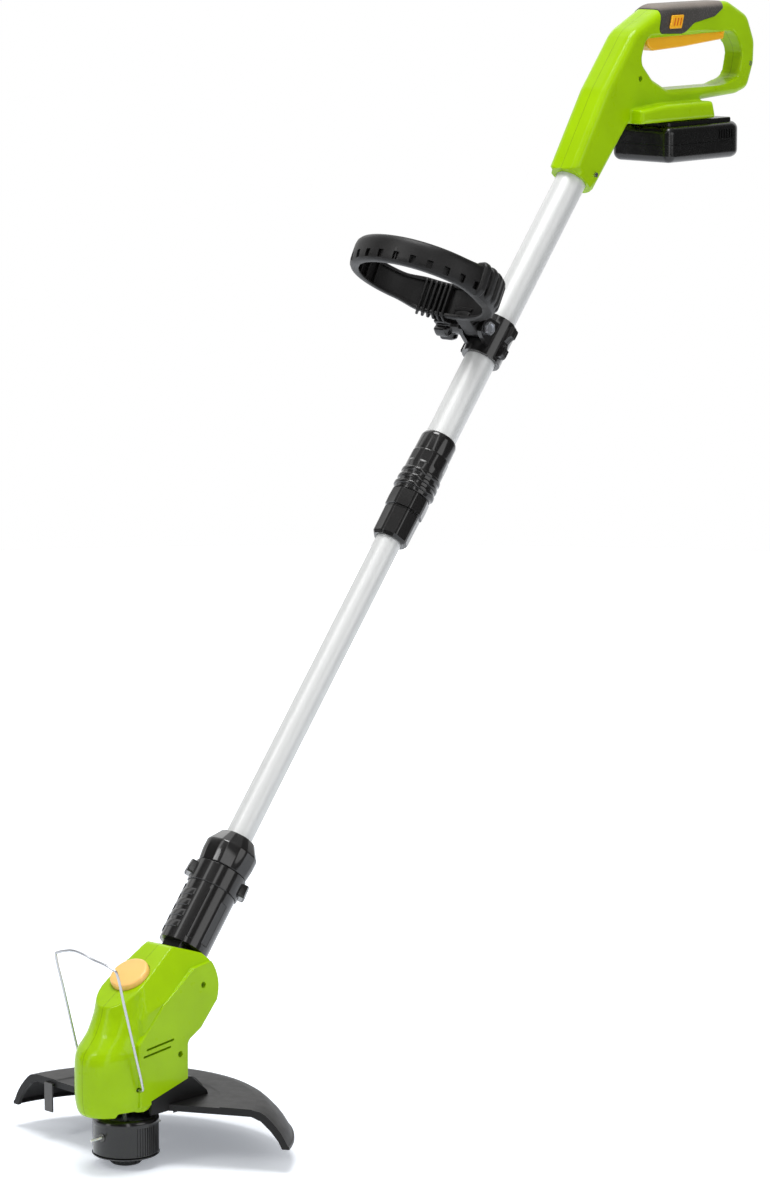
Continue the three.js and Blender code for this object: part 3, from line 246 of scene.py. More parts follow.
class Finish(Board):
    """A material, whose looks over the surface are written as expressions."""

    def __init__(self, name, base, roughness, metallic=0.0, **sockets):
        self.material = bpy.data.materials.new(name)
        self.material.use_nodes = True
        super().__init__(self.material.node_tree, "Principled BSDF")
        self.material.diffuse_color = (*base, 1)
        self.set("Base Color", (*base, 1))
        self.set("Roughness", roughness)
        self.set("Metallic", metallic)
        for socket, value in sockets.items():
            self.set(socket.replace("_", " "), value)

    def place(self, lean=0.0, stretch=(1, 1, 1)):
        """The point on the piece, turned by the shaft's lean and stretched where asked."""
        point = self.node("ShaderNodeTexCoord", {}, {}, "Object")
        if not lean and stretch == (1, 1, 1):
            return point
        turned_back = self.node("ShaderNodeMapping", {}, {
            "Vector": point, "Rotation": (0, math.radians(-lean), 0)})
        return self.node("ShaderNodeVectorMath", {"operation": "MULTIPLY"}, {
            0: turned_back, 1: stretch})

    def axis(self, letter):
        return self.node("ShaderNodeSeparateXYZ", {}, {0: self.place()}, letter)

    def noise(self, scale, detail=2.0, point=None):
        return self.node("ShaderNodeTexNoise", {}, {
            "Vector": point or self.place(), "Scale": scale, "Detail": detail})

    def cells(self, scale):
        return self.node("ShaderNodeTexVoronoi", {"feature": "SMOOTH_F1"}, {
            "Vector": self.place(), "Scale": scale})

    def ramp(self, value, *stops):
        return self.node("ShaderNodeValToRGB", {"stops": stops}, {"Fac": value})

    def bump(self, height, depth):
        """Relief as deep as depth, in metres, where the height goes from 0 to 1."""
        self.set("Normal", self.node("ShaderNodeBump", {}, {
            "Height": height, "Distance": depth}))


def shade(base, factor):
    """The same colour, darker or lighter."""
    return tuple(min(1, channel * factor) for channel in base) + (1,)


def moulded(name, base, roughness, grain_depth, grain_pitch=None, seam=False, **sockets):
    """Injection-moulded plastic: flow marks in its colour, a fine grain and an uneven gloss."""
    finish = Finish(name, base, roughness, **sockets)
    flow = finish.noise(26, 3)
    tone = finish.mix(shade(base, 0.93), shade(base, 1.05), finish.ramp(flow, (0.3, 0), (0.7, 1)))
    grain = finish.cells(1 / (grain_pitch or sizes().grain))
    rubbed = finish.noise(90, 4)
    height = grain
    if seam:
        half_line = 0.00022  # of the seam between the two shells
        parting = (abs(finish.axis("Y")) / half_line).under(1)
        tone = finish.mix(tone, shade(base, 0.35), parting * 0.8)
        height = grain * 0.25 - parting
    finish.set("Base Color", tone)
    finish.set("Roughness", roughness + (rubbed - 0.5) * 0.16 + (flow - 0.5) * 0.06)
    finish.bump(height, grain_depth)
    return finish


def anodised(name, base):
    """Drawn and anodised tube: fine lines along it and a few scuffs from the sliding joint."""
    finish = Finish(name, base, 0.4, 0.3)
    lines = finish.noise(1, 3, finish.place(LEAN, (5200, 5200, 22)))
    scuffs = finish.noise(1, 5, finish.place(LEAN, (160, 160, 30)))
    finish.set("Base Color", finish.mix(shade(base, 0.96), shade(base, 1.03), lines))
    step_mask = finish.ramp(scuffs, (0.42, 0), (0.74, 1))
    finish.set("Roughness", 0.4 + lines * 0.04 + step_mask * 0.05)
    finish.bump(lines, 0.000002)
    return finish


def turned_steel(name, base, roughness):
    """Plain steel with fine tool marks and a light patina."""
    finish = Finish(name, base, roughness, 1.0)
    marks = finish.noise(900, 2)
    patina = finish.noise(70, 4)
    finish.set("Base Color", finish.mix(shade(base, 0.82), shade(base, 1.06), patina))
    finish.set("Roughness", roughness + (patina - 0.4) * 0.22)
    finish.bump(marks, 0.00002)
    return finish


def soft_rubber(name, base):
    """Soft insert with raised dots over a matt skin and a little dust, with a painted highlight
    that makes its top pale.
    """
    finish = Finish(name, base, 0.72, Sheen_Weight=0.15, Sheen_Roughness=0.5)
    dots = finish.cells(520)
    skin = finish.noise(2400, 2)
    dust_and_light_mottle = finish.noise(55, 4)
    crown = finish.ramp(dots, (0.1, 1), (0.42, 0))
    top_light_from, top_light_to = 1.0035, 1.0085  # heights in metres, over which the painted highlight on the top fades in
    # painted highlight: the insert turns paler from these heights up, where the lamps light its
    # top, mottled by the dust noise
    step_mask = finish.axis("Z").rise(top_light_from, top_light_to)
    # a faint dust tone everywhere, and over it the painted highlight on the top at seven times the
    # colour
    finish.set("Base Color", finish.mix(
        finish.mix(shade(base, 0.7), shade(base, 1.15), crown), shade(base, 7),
        dust_and_light_mottle * 0.1 + step_mask * (0.6 + dust_and_light_mottle * 0.4)))
    finish.set("Roughness", 0.66 + dust_and_light_mottle * 0.16 - crown * 0.06)
    finish.bump(crown + skin * 0.2, 0.00022)
    return finish


def nylon(name, base):
    """Slightly milky nylon line."""
    finish = Finish(name, base, 0.35, Subsurface_Weight=0.1)
    ripple = finish.noise(900, 2)
    finish.set("Base Color", finish.mix(shade(base, 0.86), shade(base, 1.05), ripple))
    finish.bump(ripple, 0.00005)
    return finish


def film(name, base):
    """Shrink film round a cell."""
    finish = Finish(name, base, 0.32)
    crinkle = finish.noise(260, 3)
    finish.set("Base Color", finish.mix(shade(base, 0.85), shade(base, 1.12), crinkle))
    finish.set("Roughness", 0.26 + crinkle * 0.14)
    finish.bump(crinkle, 0.00006)
    return finish


FINISHES = {}


def finish_of(slot):
    """The material of a slot, made when a piece first asks for it."""
    if slot not in FINISHES:
        c = colours()
        makers = {
            "green_shell": lambda: moulded(
                "lime_shell", c.shell, 0.3, 0.00003, 0.0007, seam=True, Coat_Weight=0.22,
                Coat_Roughness=0.07, Specular_IOR_Level=0.1),
            "orange_plastic": lambda: moulded(
                "orange_plastic", c.trigger, 0.36, 0.00004, 0.0007, Coat_Weight=0.2),
            "peach_plastic": lambda: moulded(
                "button_plastic", c.button, 0.4, 0.00004, 0.0007, Coat_Weight=0.15),
            "black_plastic": lambda: moulded(
                "black_plastic", c.plastic, 0.34, 0.00004, Coat_Weight=0.9, Coat_Roughness=0.1,
                Specular_IOR_Level=0.14),
            "battery_plastic": lambda: moulded(
                "battery_plastic", c.battery, 0.26, 0.00001, 0.0006, Coat_Weight=0.15,
                Coat_Roughness=0.12),
            "matt_plastic": lambda: moulded(
                "matt_plastic", c.plastic, 0.46, 0.00006, Specular_IOR_Level=0.32),
            "grey_plastic": lambda: moulded("latch_plastic", c.latch, 0.4, 0.00005),
            "soft_grip": lambda: soft_rubber("soft_grip", c.grip),
            "alloy_tube": lambda: anodised("anodised_tube", c.tube),
            "motor_can": lambda: turned_steel("motor_can", linear(168, 170, 174), 0.4),
            "steel": lambda: turned_steel("steel", linear(196, 198, 202), 0.26),
            "blade_steel": lambda: turned_steel("blade_steel", linear(104, 103, 102), 0.42),
            "deep_orange": lambda: moulded(
                "deep_orange", linear(214, 84, 12), 0.4, 0.00004, 0.0007),
            "brass": lambda: turned_steel("brass", linear(201, 162, 76), 0.3),
            "cell_wrap": lambda: film("cell_wrap", linear(63, 143, 138)),
            "nylon_line": lambda: nylon("nylon_line", c.line),
        }
        FINISHES[slot] = makers[slot]().material
    return FINISHES[slot]


# ---------------------------------------------------------------- shapes, in millimetres

FLAT_CORNER = 1.55  # half of a corner's angle in radians, past which it isn't rounded
CORNER_SHARE = 0.48  # of the shorter edge beside a corner, the most that its rounding takes
SHARP_RIM = 1  # angle between faces in radians, past which an edge of a rim is rounded


def turned(profile, sides=None, loop=True):
    """A profile of (radius, height) spun about Z. An open one starts and ends on the axis."""
    bm = bmesh.new()
    points = [bm.verts.new((radius, 0, height)) for radius, height in profile]
    edges = [bm.edges.new(pair) for pair in zip(points, points[1:])]
    if loop:
        edges.append(bm.edges.new((points[-1], points[0])))
    bmesh.ops.spin(
        bm, geom=points + edges, cent=(0, 0, 0), axis=(0, 0, 1), angle=2 * math.pi,
        steps=sides or sizes().sides, use_merge=True)
    return cleaned(bm)


def faceted(profile, sides, depth, start=0.0):
    """A turned shape from an open profile, with flats round it that leave rounded corners."""
    growth = (1 - depth) / math.cos(math.pi / sides)
    flats = turned([(radius * growth, height) for radius, height in profile], sides, False)
    return common(turned(profile, loop=False), at(flats, turn("Z", start)))


def cleaned(bm, distance=1e-4):
    """Doubles merged and faces turned outwards."""
    bmesh.ops.remove_doubles(bm, verts=bm.verts, dist=distance)
    bmesh.ops.recalc_face_normals(bm, faces=bm.faces)
    return bm


def rod(radius, start, end, sides=48, top=None):
    """A round bar along Z."""
    bm = bmesh.new()
    bmesh.ops.create_cone(
        bm, cap_ends=True, segments=sides, radius1=radius,
        radius2=radius if top is None else top, depth=end - start,
        matrix=shift(0, 0, (start + end) / 2))
    return bm


def block(x0, x1, y0, y1, z0, z1, edge=0.0, steps=3):
    """A box between two corners, with rounded edges where asked."""
    bm = bmesh.new()
    middle = shift((x0 + x1) / 2, (y0 + y1) / 2, (z0 + z1) / 2)
    size = Matrix.Diagonal((x1 - x0, y1 - y0, z1 - z0, 1))
    bmesh.ops.create_cube(bm, size=1, matrix=middle @ size)
    if edge:
        bevelled(bm, bm.edges[:], edge, steps)
    return bm


def bevelled(bm, edges, radius, steps):
    """The shape with some of its edges rounded."""
    bmesh.ops.bevel(
        bm, geom=edges, offset=radius, offset_type="OFFSET", segments=steps, profile=0.5,
        affect="EDGES", material=-1, clamp_overlap=True)
    return bm


def plate(points, steps=6):
    """One face in the XZ plane from corners of (x, z, radius)."""
    bm = bmesh.new()
    corners = [bm.verts.new((point[0], 0, point[1])) for point in points]
    bm.faces.new(corners)
    places = [corner.co.copy() for corner in corners]
    for i, point in enumerate(points):
        radius = point[2] if len(point) > 2 else 0
        back = places[i - 1] - places[i]
        ahead = places[(i + 1) % len(places)] - places[i]
        half = back.angle(ahead) / 2
        if radius <= 0 or half > FLAT_CORNER:
            continue
        reach = min(radius / math.tan(half), CORNER_SHARE * min(back.length, ahead.length))
        bmesh.ops.bevel(
            bm, geom=[corners[i]], offset=reach, offset_type="OFFSET", segments=steps,
            profile=0.5, affect="VERTICES", material=-1, clamp_overlap=False)
    return bm


def prism(points, half_width, rim=0.0, rim_steps=4, steps=6):
    """An XZ outline spread to both sides of the middle plane, with rounded rims."""
    bm = plate(points, steps)
    bmesh.ops.translate(bm, verts=bm.verts, vec=(0, -half_width, 0))
    grown = bmesh.ops.extrude_face_region(bm, geom=bm.faces[:])
    bmesh.ops.translate(
        bm, verts=[v for v in grown["geom"] if isinstance(v, bmesh.types.BMVert)],
        vec=(0, 2 * half_width, 0))
    bmesh.ops.recalc_face_normals(bm, faces=bm.faces)
    if rim:
        edges = [
            e for e in bm.edges
            if abs(e.verts[0].co.y - e.verts[1].co.y) < 1e-4
            and e.calc_face_angle(0) > SHARP_RIM]
        bevelled(bm, edges, rim, rim_steps)
    return bm


def raised(points, low, high, rim=0.0, rim_steps=4, steps=6):
    """An XY outline raised along Z, with rounded rims."""
    bm = prism(points, (high - low) / 2, rim, rim_steps, steps)
    bm.transform(shift(0, 0, (low + high) / 2) @ turn("X", 90))
    return cleaned(bm)


def inset(points, distance):
    """The same corners moved inwards by a distance, or outwards where it is negative."""
    flat = [Vector(point[:2]) for point in points]
    area = sum(a.x * b.y - a.y * b.x for a, b in zip(flat, flat[1:] + flat[:1]))
    side = math.copysign(distance, area * distance) if distance else 0
    moved = []
    for i, point in enumerate(points):
        before = (flat[i] - flat[i - 1]).normalized()
        after = (flat[(i + 1) % len(flat)] - flat[i]).normalized()
        normal = (before.orthogonal() + after.orthogonal()).normalized()
        stretch = 1 / max(0.3, normal.dot(before.orthogonal()))
        radius = point[2] if len(point) > 2 else 0
        turning = math.copysign(1, (before.x * after.y - before.y * after.x) * area)
        corner = max(0.5, radius - turning * distance) if radius else 0
        end = flat[i] + normal * side * stretch
        moved.append((end.x, end.y, corner))
    return moved


def copied(*nodes):
    """CAD nodes as one shape in millimetres, with their doubles merged."""
    bm = bmesh.new()
    for node in nodes:
        bm.from_mesh(frame["nodes"][node].data)
    bm.transform(Matrix.Scale(1 / MM, 4))
    bmesh.ops.remove_doubles(bm, verts=bm.verts, dist=0.005)
    bmesh.ops.dissolve_limit(
        bm, angle_limit=math.radians(0.6), verts=bm.verts[:], edges=bm.edges[:])
    return bm


def flute(bm, count, depth, least, crispness):
    """Draws lengthwise grooves into what lies beyond a radius."""
    for vert in bm.verts:
        radius = math.hypot(vert.co.x, vert.co.y)
        if radius > least:
            angle = math.atan2(vert.co.y, vert.co.x)
            dip = depth * max(0, math.cos(angle * count)) ** crispness
            vert.co.x *= (radius - dip) / radius
            vert.co.y *= (radius - dip) / radius
    return bm


def grown(bm, distance):
    """A copy with every point moved along its normal."""
    copy = bm.copy()
    copy.normal_update()
    for vert in copy.verts:
        vert.co += vert.normal * distance
    return copy


def at(bm, *places):
    """Moves a shape, last place first, and returns it."""
    whole = Matrix()
    for place in places:
        whole = whole @ place
    bm.transform(whole)
    return bm


def together(*shapes):
    """Several shapes in one, without joining their surfaces."""
    whole = bmesh.new()
    for shape in shapes:
        loose = bpy.data.meshes.new("loose")
        shape.to_mesh(loose)
        whole.from_mesh(loose)
        bpy.data.meshes.remove(loose)
    return whole


def loose_object(bm):
    """A shape as an object of its own, for modifiers to work on."""
    mesh = bpy.data.meshes.new("loose")
    bm.to_mesh(mesh)
    obj = bpy.data.objects.new("loose", mesh)
    bpy.context.scene.collection.objects.link(obj)
    return obj


def settled(obj, others=()):
    """The shape of an object with its modifiers, which removes the objects."""
    bpy.context.view_layer.update()
    depsgraph = bpy.context.evaluated_depsgraph_get()
    mesh = bpy.data.meshes.new_from_object(obj.evaluated_get(depsgraph))
    bm = bmesh.new()
    bm.from_mesh(mesh)
    for used in (obj, *others):
        data = used.data
        bpy.data.objects.remove(used)
        if isinstance(data, bpy.types.Mesh):
            bpy.data.meshes.remove(data)
        else:
            bpy.data.curves.remove(data)
    bpy.data.meshes.remove(mesh)
    return bm


def carved(base, how, *tools):
    """A shape with others cut from it, joined to it or kept in common with it."""
    obj = loose_object(base)
    cutters = [loose_object(tool) for tool in tools]
    for cutter in cutters:
        step = obj.modifiers.new("step", "BOOLEAN")
        step.operation = how
        step.solver = "MANIFOLD"
        step.object = cutter
    result = settled(obj, cutters)
    if not result.faces:
        raise RuntimeError(f"nothing is left after {how} with {len(tools)} shapes")
    return result


def cut(base, *tools):
    return carved(base, "DIFFERENCE", *tools)


def joined(base, *tools):
    return carved(base, "UNION", *tools)


def common(base, *tools):
    return carved(base, "INTERSECT", *tools)


def blended(bm, cell, rounds):
    """One skin over overlapping shapes, with its edges and joints rounded off."""
    obj = loose_object(bm)
    remesh = obj.modifiers.new("skin", "REMESH")
    remesh.mode = "VOXEL"
    remesh.voxel_size = cell
    soften = obj.modifiers.new("soften", "SMOOTH")
    soften.factor = 0.5
    soften.iterations = rounds
    return settled(obj)


def wire(points, radius, sides):
    """A round bar along a smooth line through points."""
    curve = bpy.data.curves.new("wire", "CURVE")
    curve.dimensions = "3D"
    curve.bevel_depth = radius
    curve.bevel_resolution = sides // 4
    curve.resolution_u = 10
    curve.use_fill_caps = True
    spline = curve.splines.new("BEZIER")
    spline.bezier_points.add(len(points) - 1)
    for handle, point in zip(spline.bezier_points, points):
        handle.co = point
        handle.handle_left_type = handle.handle_right_type = "AUTO"
    obj = bpy.data.objects.new("wire", curve)
    bpy.context.scene.collection.objects.link(obj)
    return cleaned(settled(obj))


def cross_recess(radius, depth, start):
    """A cross cut into a screw's head, along Z from the face down."""
    half = radius * 0.22
    arm = block(-radius, radius, -half, half, start - depth, start + 1)
    return [arm, at(arm.copy(), turn("Z", 90))]


# ---------------------------------------------------------------- pieces


def piece(name, bm, body, slot, replaces=(), edge=0.0, crease=34, steps=2, finish=None):
    """Puts a shape into the scene, on the body it moves with and in place of its CAD nodes.

    Edge is the width of its rounded edges in metres, and crease the angle between faces, in
    degrees, past which an edge counts as sharp. Slot is the material slot that names its
    finish, and finish a look of its own in place of that.
    """
    bm.transform(Matrix.Scale(MM, 4))
    bmesh.ops.remove_doubles(bm, verts=bm.verts, dist=2e-7)
    for face in bm.faces:
        face.smooth = True
    limit = math.radians(crease)
    if not edge:
        for line in bm.edges:
            line.smooth = line.calc_face_angle(0) < limit
    mesh = bpy.data.meshes.new(name)
    bm.to_mesh(mesh)
    bm.free()
    obj = bpy.data.objects.new(name, mesh)
    bpy.context.scene.collection.objects.link(obj)
    mesh.materials.append(finish_of(finish or slot))
    if edge:
        rounding = obj.modifiers.new("edges", "BEVEL")
        rounding.width = edge
        rounding.segments = steps
        rounding.limit_method = "ANGLE"
        rounding.angle_limit = limit
        rounding.use_clamp_overlap = True
    flat = obj.modifiers.new("normals", "WEIGHTED_NORMAL")
    flat.keep_sharp = not edge
    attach(obj, body)
    if replaces:
        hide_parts(*replaces)
    return obj


class TrimmerOperator(bpy.types.Operator):
    """What every step of the build shares."""
    bl_idname = "trimmer.step"
    bl_label = "Step"
    bl_options = {"REGISTER", "UNDO"}

    def execute(self, context):
        self.build()
        return {"FINISHED"}


class BuildStage(TrimmerOperator):
    """Makes the floor, the lamps, the surroundings and the camera"""
    bl_idname = "trimmer.stage"
    bl_label = "Stage"
    film, lens = 36, 145.2  # millimetres
    eye = (-2.97230, -2.99054, 1.25783)
    heading, dip = -48, 10  # of the line of sight, round Z and below the level, in degrees
    lit = Vector((0.3, 0, 0.4))  # the middle of the tool, at which the lamps point

    def build(self):
        scene = bpy.context.scene
        scene.view_settings.view_transform = "Standard"
        camera = bpy.data.objects.new("camera", bpy.data.cameras.new("camera"))
        camera.data.sensor_width = self.film
        camera.data.lens = self.lens
        camera.data.clip_end = 60
        camera.location = self.eye
        heading, dip = math.radians(self.heading), math.radians(self.dip)
        look = Vector((
            -math.sin(heading) * math.cos(dip), math.cos(heading) * math.cos(dip),
            -math.sin(dip)))
        camera.rotation_euler = look.to_track_quat("-Z", "Y").to_euler()
        scene.collection.objects.link(camera)
        scene.camera = camera
        self.surroundings(scene)
        self.floor(scene)
        studio = scene.trimmer_studio
        self.lamp("key", (-2.6, 0.2, 2.6), 1.2, studio.key)
        self.lamp("fill", (0.6, -3.4, 1.6), 2.2, studio.fill)
        self.lamp("rim", (1.8, 2.6, 2.4), 1.6, studio.fill * 0.4)
        self.lamp("top", (0.1, 0, 4.4), 2.0, studio.top)

    def lamp(self, name, place, size, power):
        data = bpy.data.lights.new(name, "AREA")
        data.shape = "DISK"
        data.size = size
        data.energy = power
        lamp = bpy.data.objects.new(name, data)
        lamp.location = place
        aim = self.lit - Vector(place)
        lamp.rotation_euler = aim.to_track_quat("-Z", "Y").to_euler()
        bpy.context.scene.collection.objects.link(lamp)

    def surroundings(self, scene):
        """White behind the tool, and for gloss three tall windows in a dim room."""
        world = bpy.data.worlds.new("surroundings")
        scene.world = world
        world.use_nodes = True
        room = Board(world.node_tree, "Background")
        camera, glossy = room.seen()
        way = room.node("ShaderNodeTexCoord", {}, {}, "Generated")

        def along(x, y, z=0.0):
            """How far the way of a ray goes along a direction."""
            return room.node("ShaderNodeVectorMath", {"operation": "DOT_PRODUCT"}, {
                0: way, 1: (x, y, z)}, "Value")

        front, left, up = along(-0.743, -0.669), along(-0.669, 0.743), along(0, 0, 1)
        bearing = left.math("ARCTAN2", left, front)

        def strip(centre, half, soft):
            """A window round a bearing, by its half width and soft border, in degrees."""
            off = abs(bearing - math.radians(centre))
            return off.rise(math.radians(half + soft), math.radians(half))

        window = strip(58, 4, 7) * 2.5 + strip(-12, 3, 6) * 2.4 + strip(122, 5, 9) * 1.2
        behind = abs(bearing).rise(math.radians(125), math.radians(150))
        gloss = (0.1 + window * up.rise(0.97, 0.85) + behind * 0.85
                 + up.rise(0.6, 0.95) * 0.35)
        plain = scene.trimmer_studio.sky
        level = plain + glossy * (gloss - plain) + camera * (1 - plain)
        room.set("Color", (1, 1, 1, 1))
        room.set("Strength", level)

    def floor(self, scene):
        """A pale floor that keeps the shadow, and glows more and more the farther it goes."""
        reach = 3.2
        bm = bmesh.new()
        bmesh.ops.create_circle(
            bm, cap_ends=True, segments=128, radius=reach, matrix=shift(self.lit.x, 0, -0.0004))
        mesh = bpy.data.meshes.new("floor")
        bm.to_mesh(mesh)
        bm.free()
        floor = bpy.data.objects.new("floor", mesh)
        scene.collection.objects.link(floor)
        paper = Finish("pale_floor", (0.9, 0.93, 0.97), 0.85)
        tone = paper.noise(3, 2)
        paper.set("Base Color", paper.mix(
            (0.885, 0.915, 0.965, 1), (0.92, 0.945, 0.985, 1), tone))
        distance = paper.node(
            "ShaderNodeVectorMath", {"operation": "LENGTH"}, {0: paper.place()}, "Value")
        camera, glossy = paper.seen()
        glow = (camera + glossy * 0.4) * (0.3 + distance.rise(0.4, reach * 0.85) * 0.7)
        paper.set("Emission Strength", 1.0)
        tint = paper.mix(
            (0.88, 0.925, 1, 1), (1, 1, 1, 1), distance.rise(0.5, reach * 0.7))
        paper.set("Emission Color", paper.mix((0, 0, 0, 1), tint, glow))
        paper.material.cycles.emission_sampling = "NONE"  # the glow is no lamp
        mesh.materials.append(paper.material)


class BuildShaft(TrimmerOperator):
    """Models both tubes and the telescoping joint between them"""
    bl_idname = "trimmer.shaft"
    bl_label = "Shaft"

    def build(self):
        for name, body, radius, wall, foot, top in (
                ("upper_tube", "handle", UPPER_TUBE, 1.3, 616, 1052),
                ("lower_tube", "lower_shaft", LOWER_TUBE, 1.2, 150, 716)):
            bore = radius - wall
            tube = turned([(bore, foot), (radius, foot), (radius, top), (bore, top)])
            piece(f"{name}_skin", at(tube, SHAFT), body, "alloy_tube", [name], 0.0003)

        bore = LOWER_TUBE + RUN
        sides, start = 8, 8  # flats round the nut and the sleeve, and where they begin
        nut = cut(
            faceted([
                (0, 558), (15.8, 558), (17.8, 561), (17.9, 574), (18.1, 587.6), (17.4, 588.4),
                (17.4, 589.4), (19.2, 590.2), (19.4, 598), (19.1, 607), (18.5, 607.7), (0, 607.7)],
                sides, 0.045, start),
            rod(bore, 500, 620, 96), rod(15.1, 577, 594, 96), rod(15.8, 593.7, 620, 96))
        piece("telescope_nut_skin", at(nut, SHAFT), "telescope_nut", "black_plastic",
              ["telescope_nut"], 0.0006, 22)

        profile = [(bore, 594), (15.4, 594), (15.4, 608), (18.3, 608), (18.7, 608.6)]
        for i in range(3):
            foot, crown = 611.5 + 7.6 * i, 20.5 - 0.45 * i
            profile += [
                (18.7, foot), (crown - 0.5, foot + 0.3), (crown, foot + 0.9), (crown, foot + 3.4),
                (crown - 0.5, foot + 4), (18.6, foot + 4.6)]
        profile += [
            (18.6, 637), (18.4, 650.6), (17.7, 651.6), (17.6, 652.8), (17.9, 653.6), (17.8, 668.6),
            (16.4, 672), (15.6, 673), (UPPER_TUBE + GAP, 673), (UPPER_TUBE + GAP, 615.7),
            (bore, 615.7)]
        flats = faceted(
            [(0, 590), (22.4, 590), (20.9, 636), (18.6, 640), (18.3, 680), (0, 680)],
            sides, 0.03, start)
        sleeve = common(turned(profile), flats)
        piece("telescope_sleeve_skin", at(sleeve, SHAFT), "handle", "black_plastic",
              ["telescope_sleeve"], 0.0003, 40)


class BuildNeck(TrimmerOperator):
    """Models the neck, its lock ring and the cap under the tube"""
    bl_idname = "trimmer.neck"
    bl_label = "Neck"

    def build(self):
        reach = 40  # of its hollow end from the axle, round which the head turns
        radius, spigot, top = 23.5, 18.6, 198.4
        post = turned([
            (0, PIVOT), (radius, PIVOT), (radius, 180), (radius - 0.5, 180.5), (spigot, 180.5),
            (spigot, top - 0.4), (spigot - 0.4, top), (0, top)], loop=False)
        axle = shift(0, 0, PIVOT) @ CROSSWISE
        hollow = at(rod(reach + GAP, -60, 60, 128), axle)
        front = block(-60, 0, -60, 60, PIVOT - 30, PIVOT + reach + GAP)
        tongue = at(rod(TONGUE_RADIUS, -TONGUE_HALF, TONGUE_HALF, 64), axle)
        spine = block(-16, 16, -TONGUE_HALF, TONGUE_HALF, PIVOT, PIVOT + reach + 6, 1)
        neck = joined(cut(post, hollow, front), tongue, spine)
        ribs = []
        for i in range(4):
            z = 128.5 + i * 11
            rib = turned([
                (22, z), (23.9, z), (24.6, z + 0.6), (24.4, z + 4.6), (23.7, z + 7), (22, z + 7)])
            ribs.append(
                common(rib, at(block(-1, 40, -16, 16, z - 1, z + 9, 2), turn("Z", 148))))
        rails = [
            common(
                turned([(22, 124), (24.4, 124), (24.4, 173.2), (22, 173.2)]),
                block(-18.6, -14.6, *sorted((side * 2, side * 40)), 100, 200))
            for side in (-1, 1)]
        strips = [
            at(block(22.9, 30, -4.8, 4.8, 124, 168, 1.2), turn("Z", angle))
            for angle in (-92, 88)]
        neck = cut(
            joined(neck, *ribs, *rails), *strips, rod(LOWER_TUBE + RUN, 149.7, 200, 96),
            at(rod(AXLE_RADIUS + RUN, -60, 60), axle))
        piece("neck_skin", at(neck, SHAFT), "neck", "black_plastic", ["neck_body"], 0.0004, 38)

        ring = turned([
            (spigot + RUN, 194.4), (spigot + RUN, top), (24.4, top), (24.9, 197.9),
            (24.9, 178.5), (24.4, 178), (radius + RUN, 178), (radius + RUN, 194.4)])
        tabs = []
        for angle in (-46, 134):
            tab = common(
                raised([(20, -9.5), (30.5, -9.5, 3), (30.5, 9.5, 3), (20, 9.5)], 183, 195.5, 1.8),
                rod(30.5, 182, 196, 96, 29.5))
            for i in range(4):
                groove = block(28.2, 34, -5.9 + 3.4 * i, -4.5 + 3.4 * i, 176, 200, 0.3)
                tab = cut(tab, groove)
            tabs.append(at(cut(tab, rod(24.6, 170, 200, 96)), turn("Z", angle)))
        ring = joined(ring, *tabs)
        piece("edging_ring_skin", at(ring, SHAFT), "edging_ring", "black_plastic",
              ["edging_ring"], 0.0003, 38)

        cap = cut(
            faceted([
                (0, 198.8), (23.4, 198.8), (24.2, 199.6), (25.6, 210), (25.6, 219.4),
                (24.6, 221.4), (17.4, 232.6), (15.4, 234), (0, 234)], 8, 0.024, 22),
            rod(LOWER_TUBE + GAP, 190, 240, 96))
        piece("neck_cap_skin", at(cap, SHAFT), "lower_shaft", "black_plastic", ["neck_cap"],
              0.0004, 30)


def face_height(x):
    """Height of the head's inclined face in the middle plane."""
    return BUTTON_HEIGHT + (x - BUTTON_X) * math.tan(math.radians(FACE_SLOPE))


def collar_line(x):
    """Height of the joint between head and guard, which climbs towards the back."""
    return 63.9 + x * 0.25


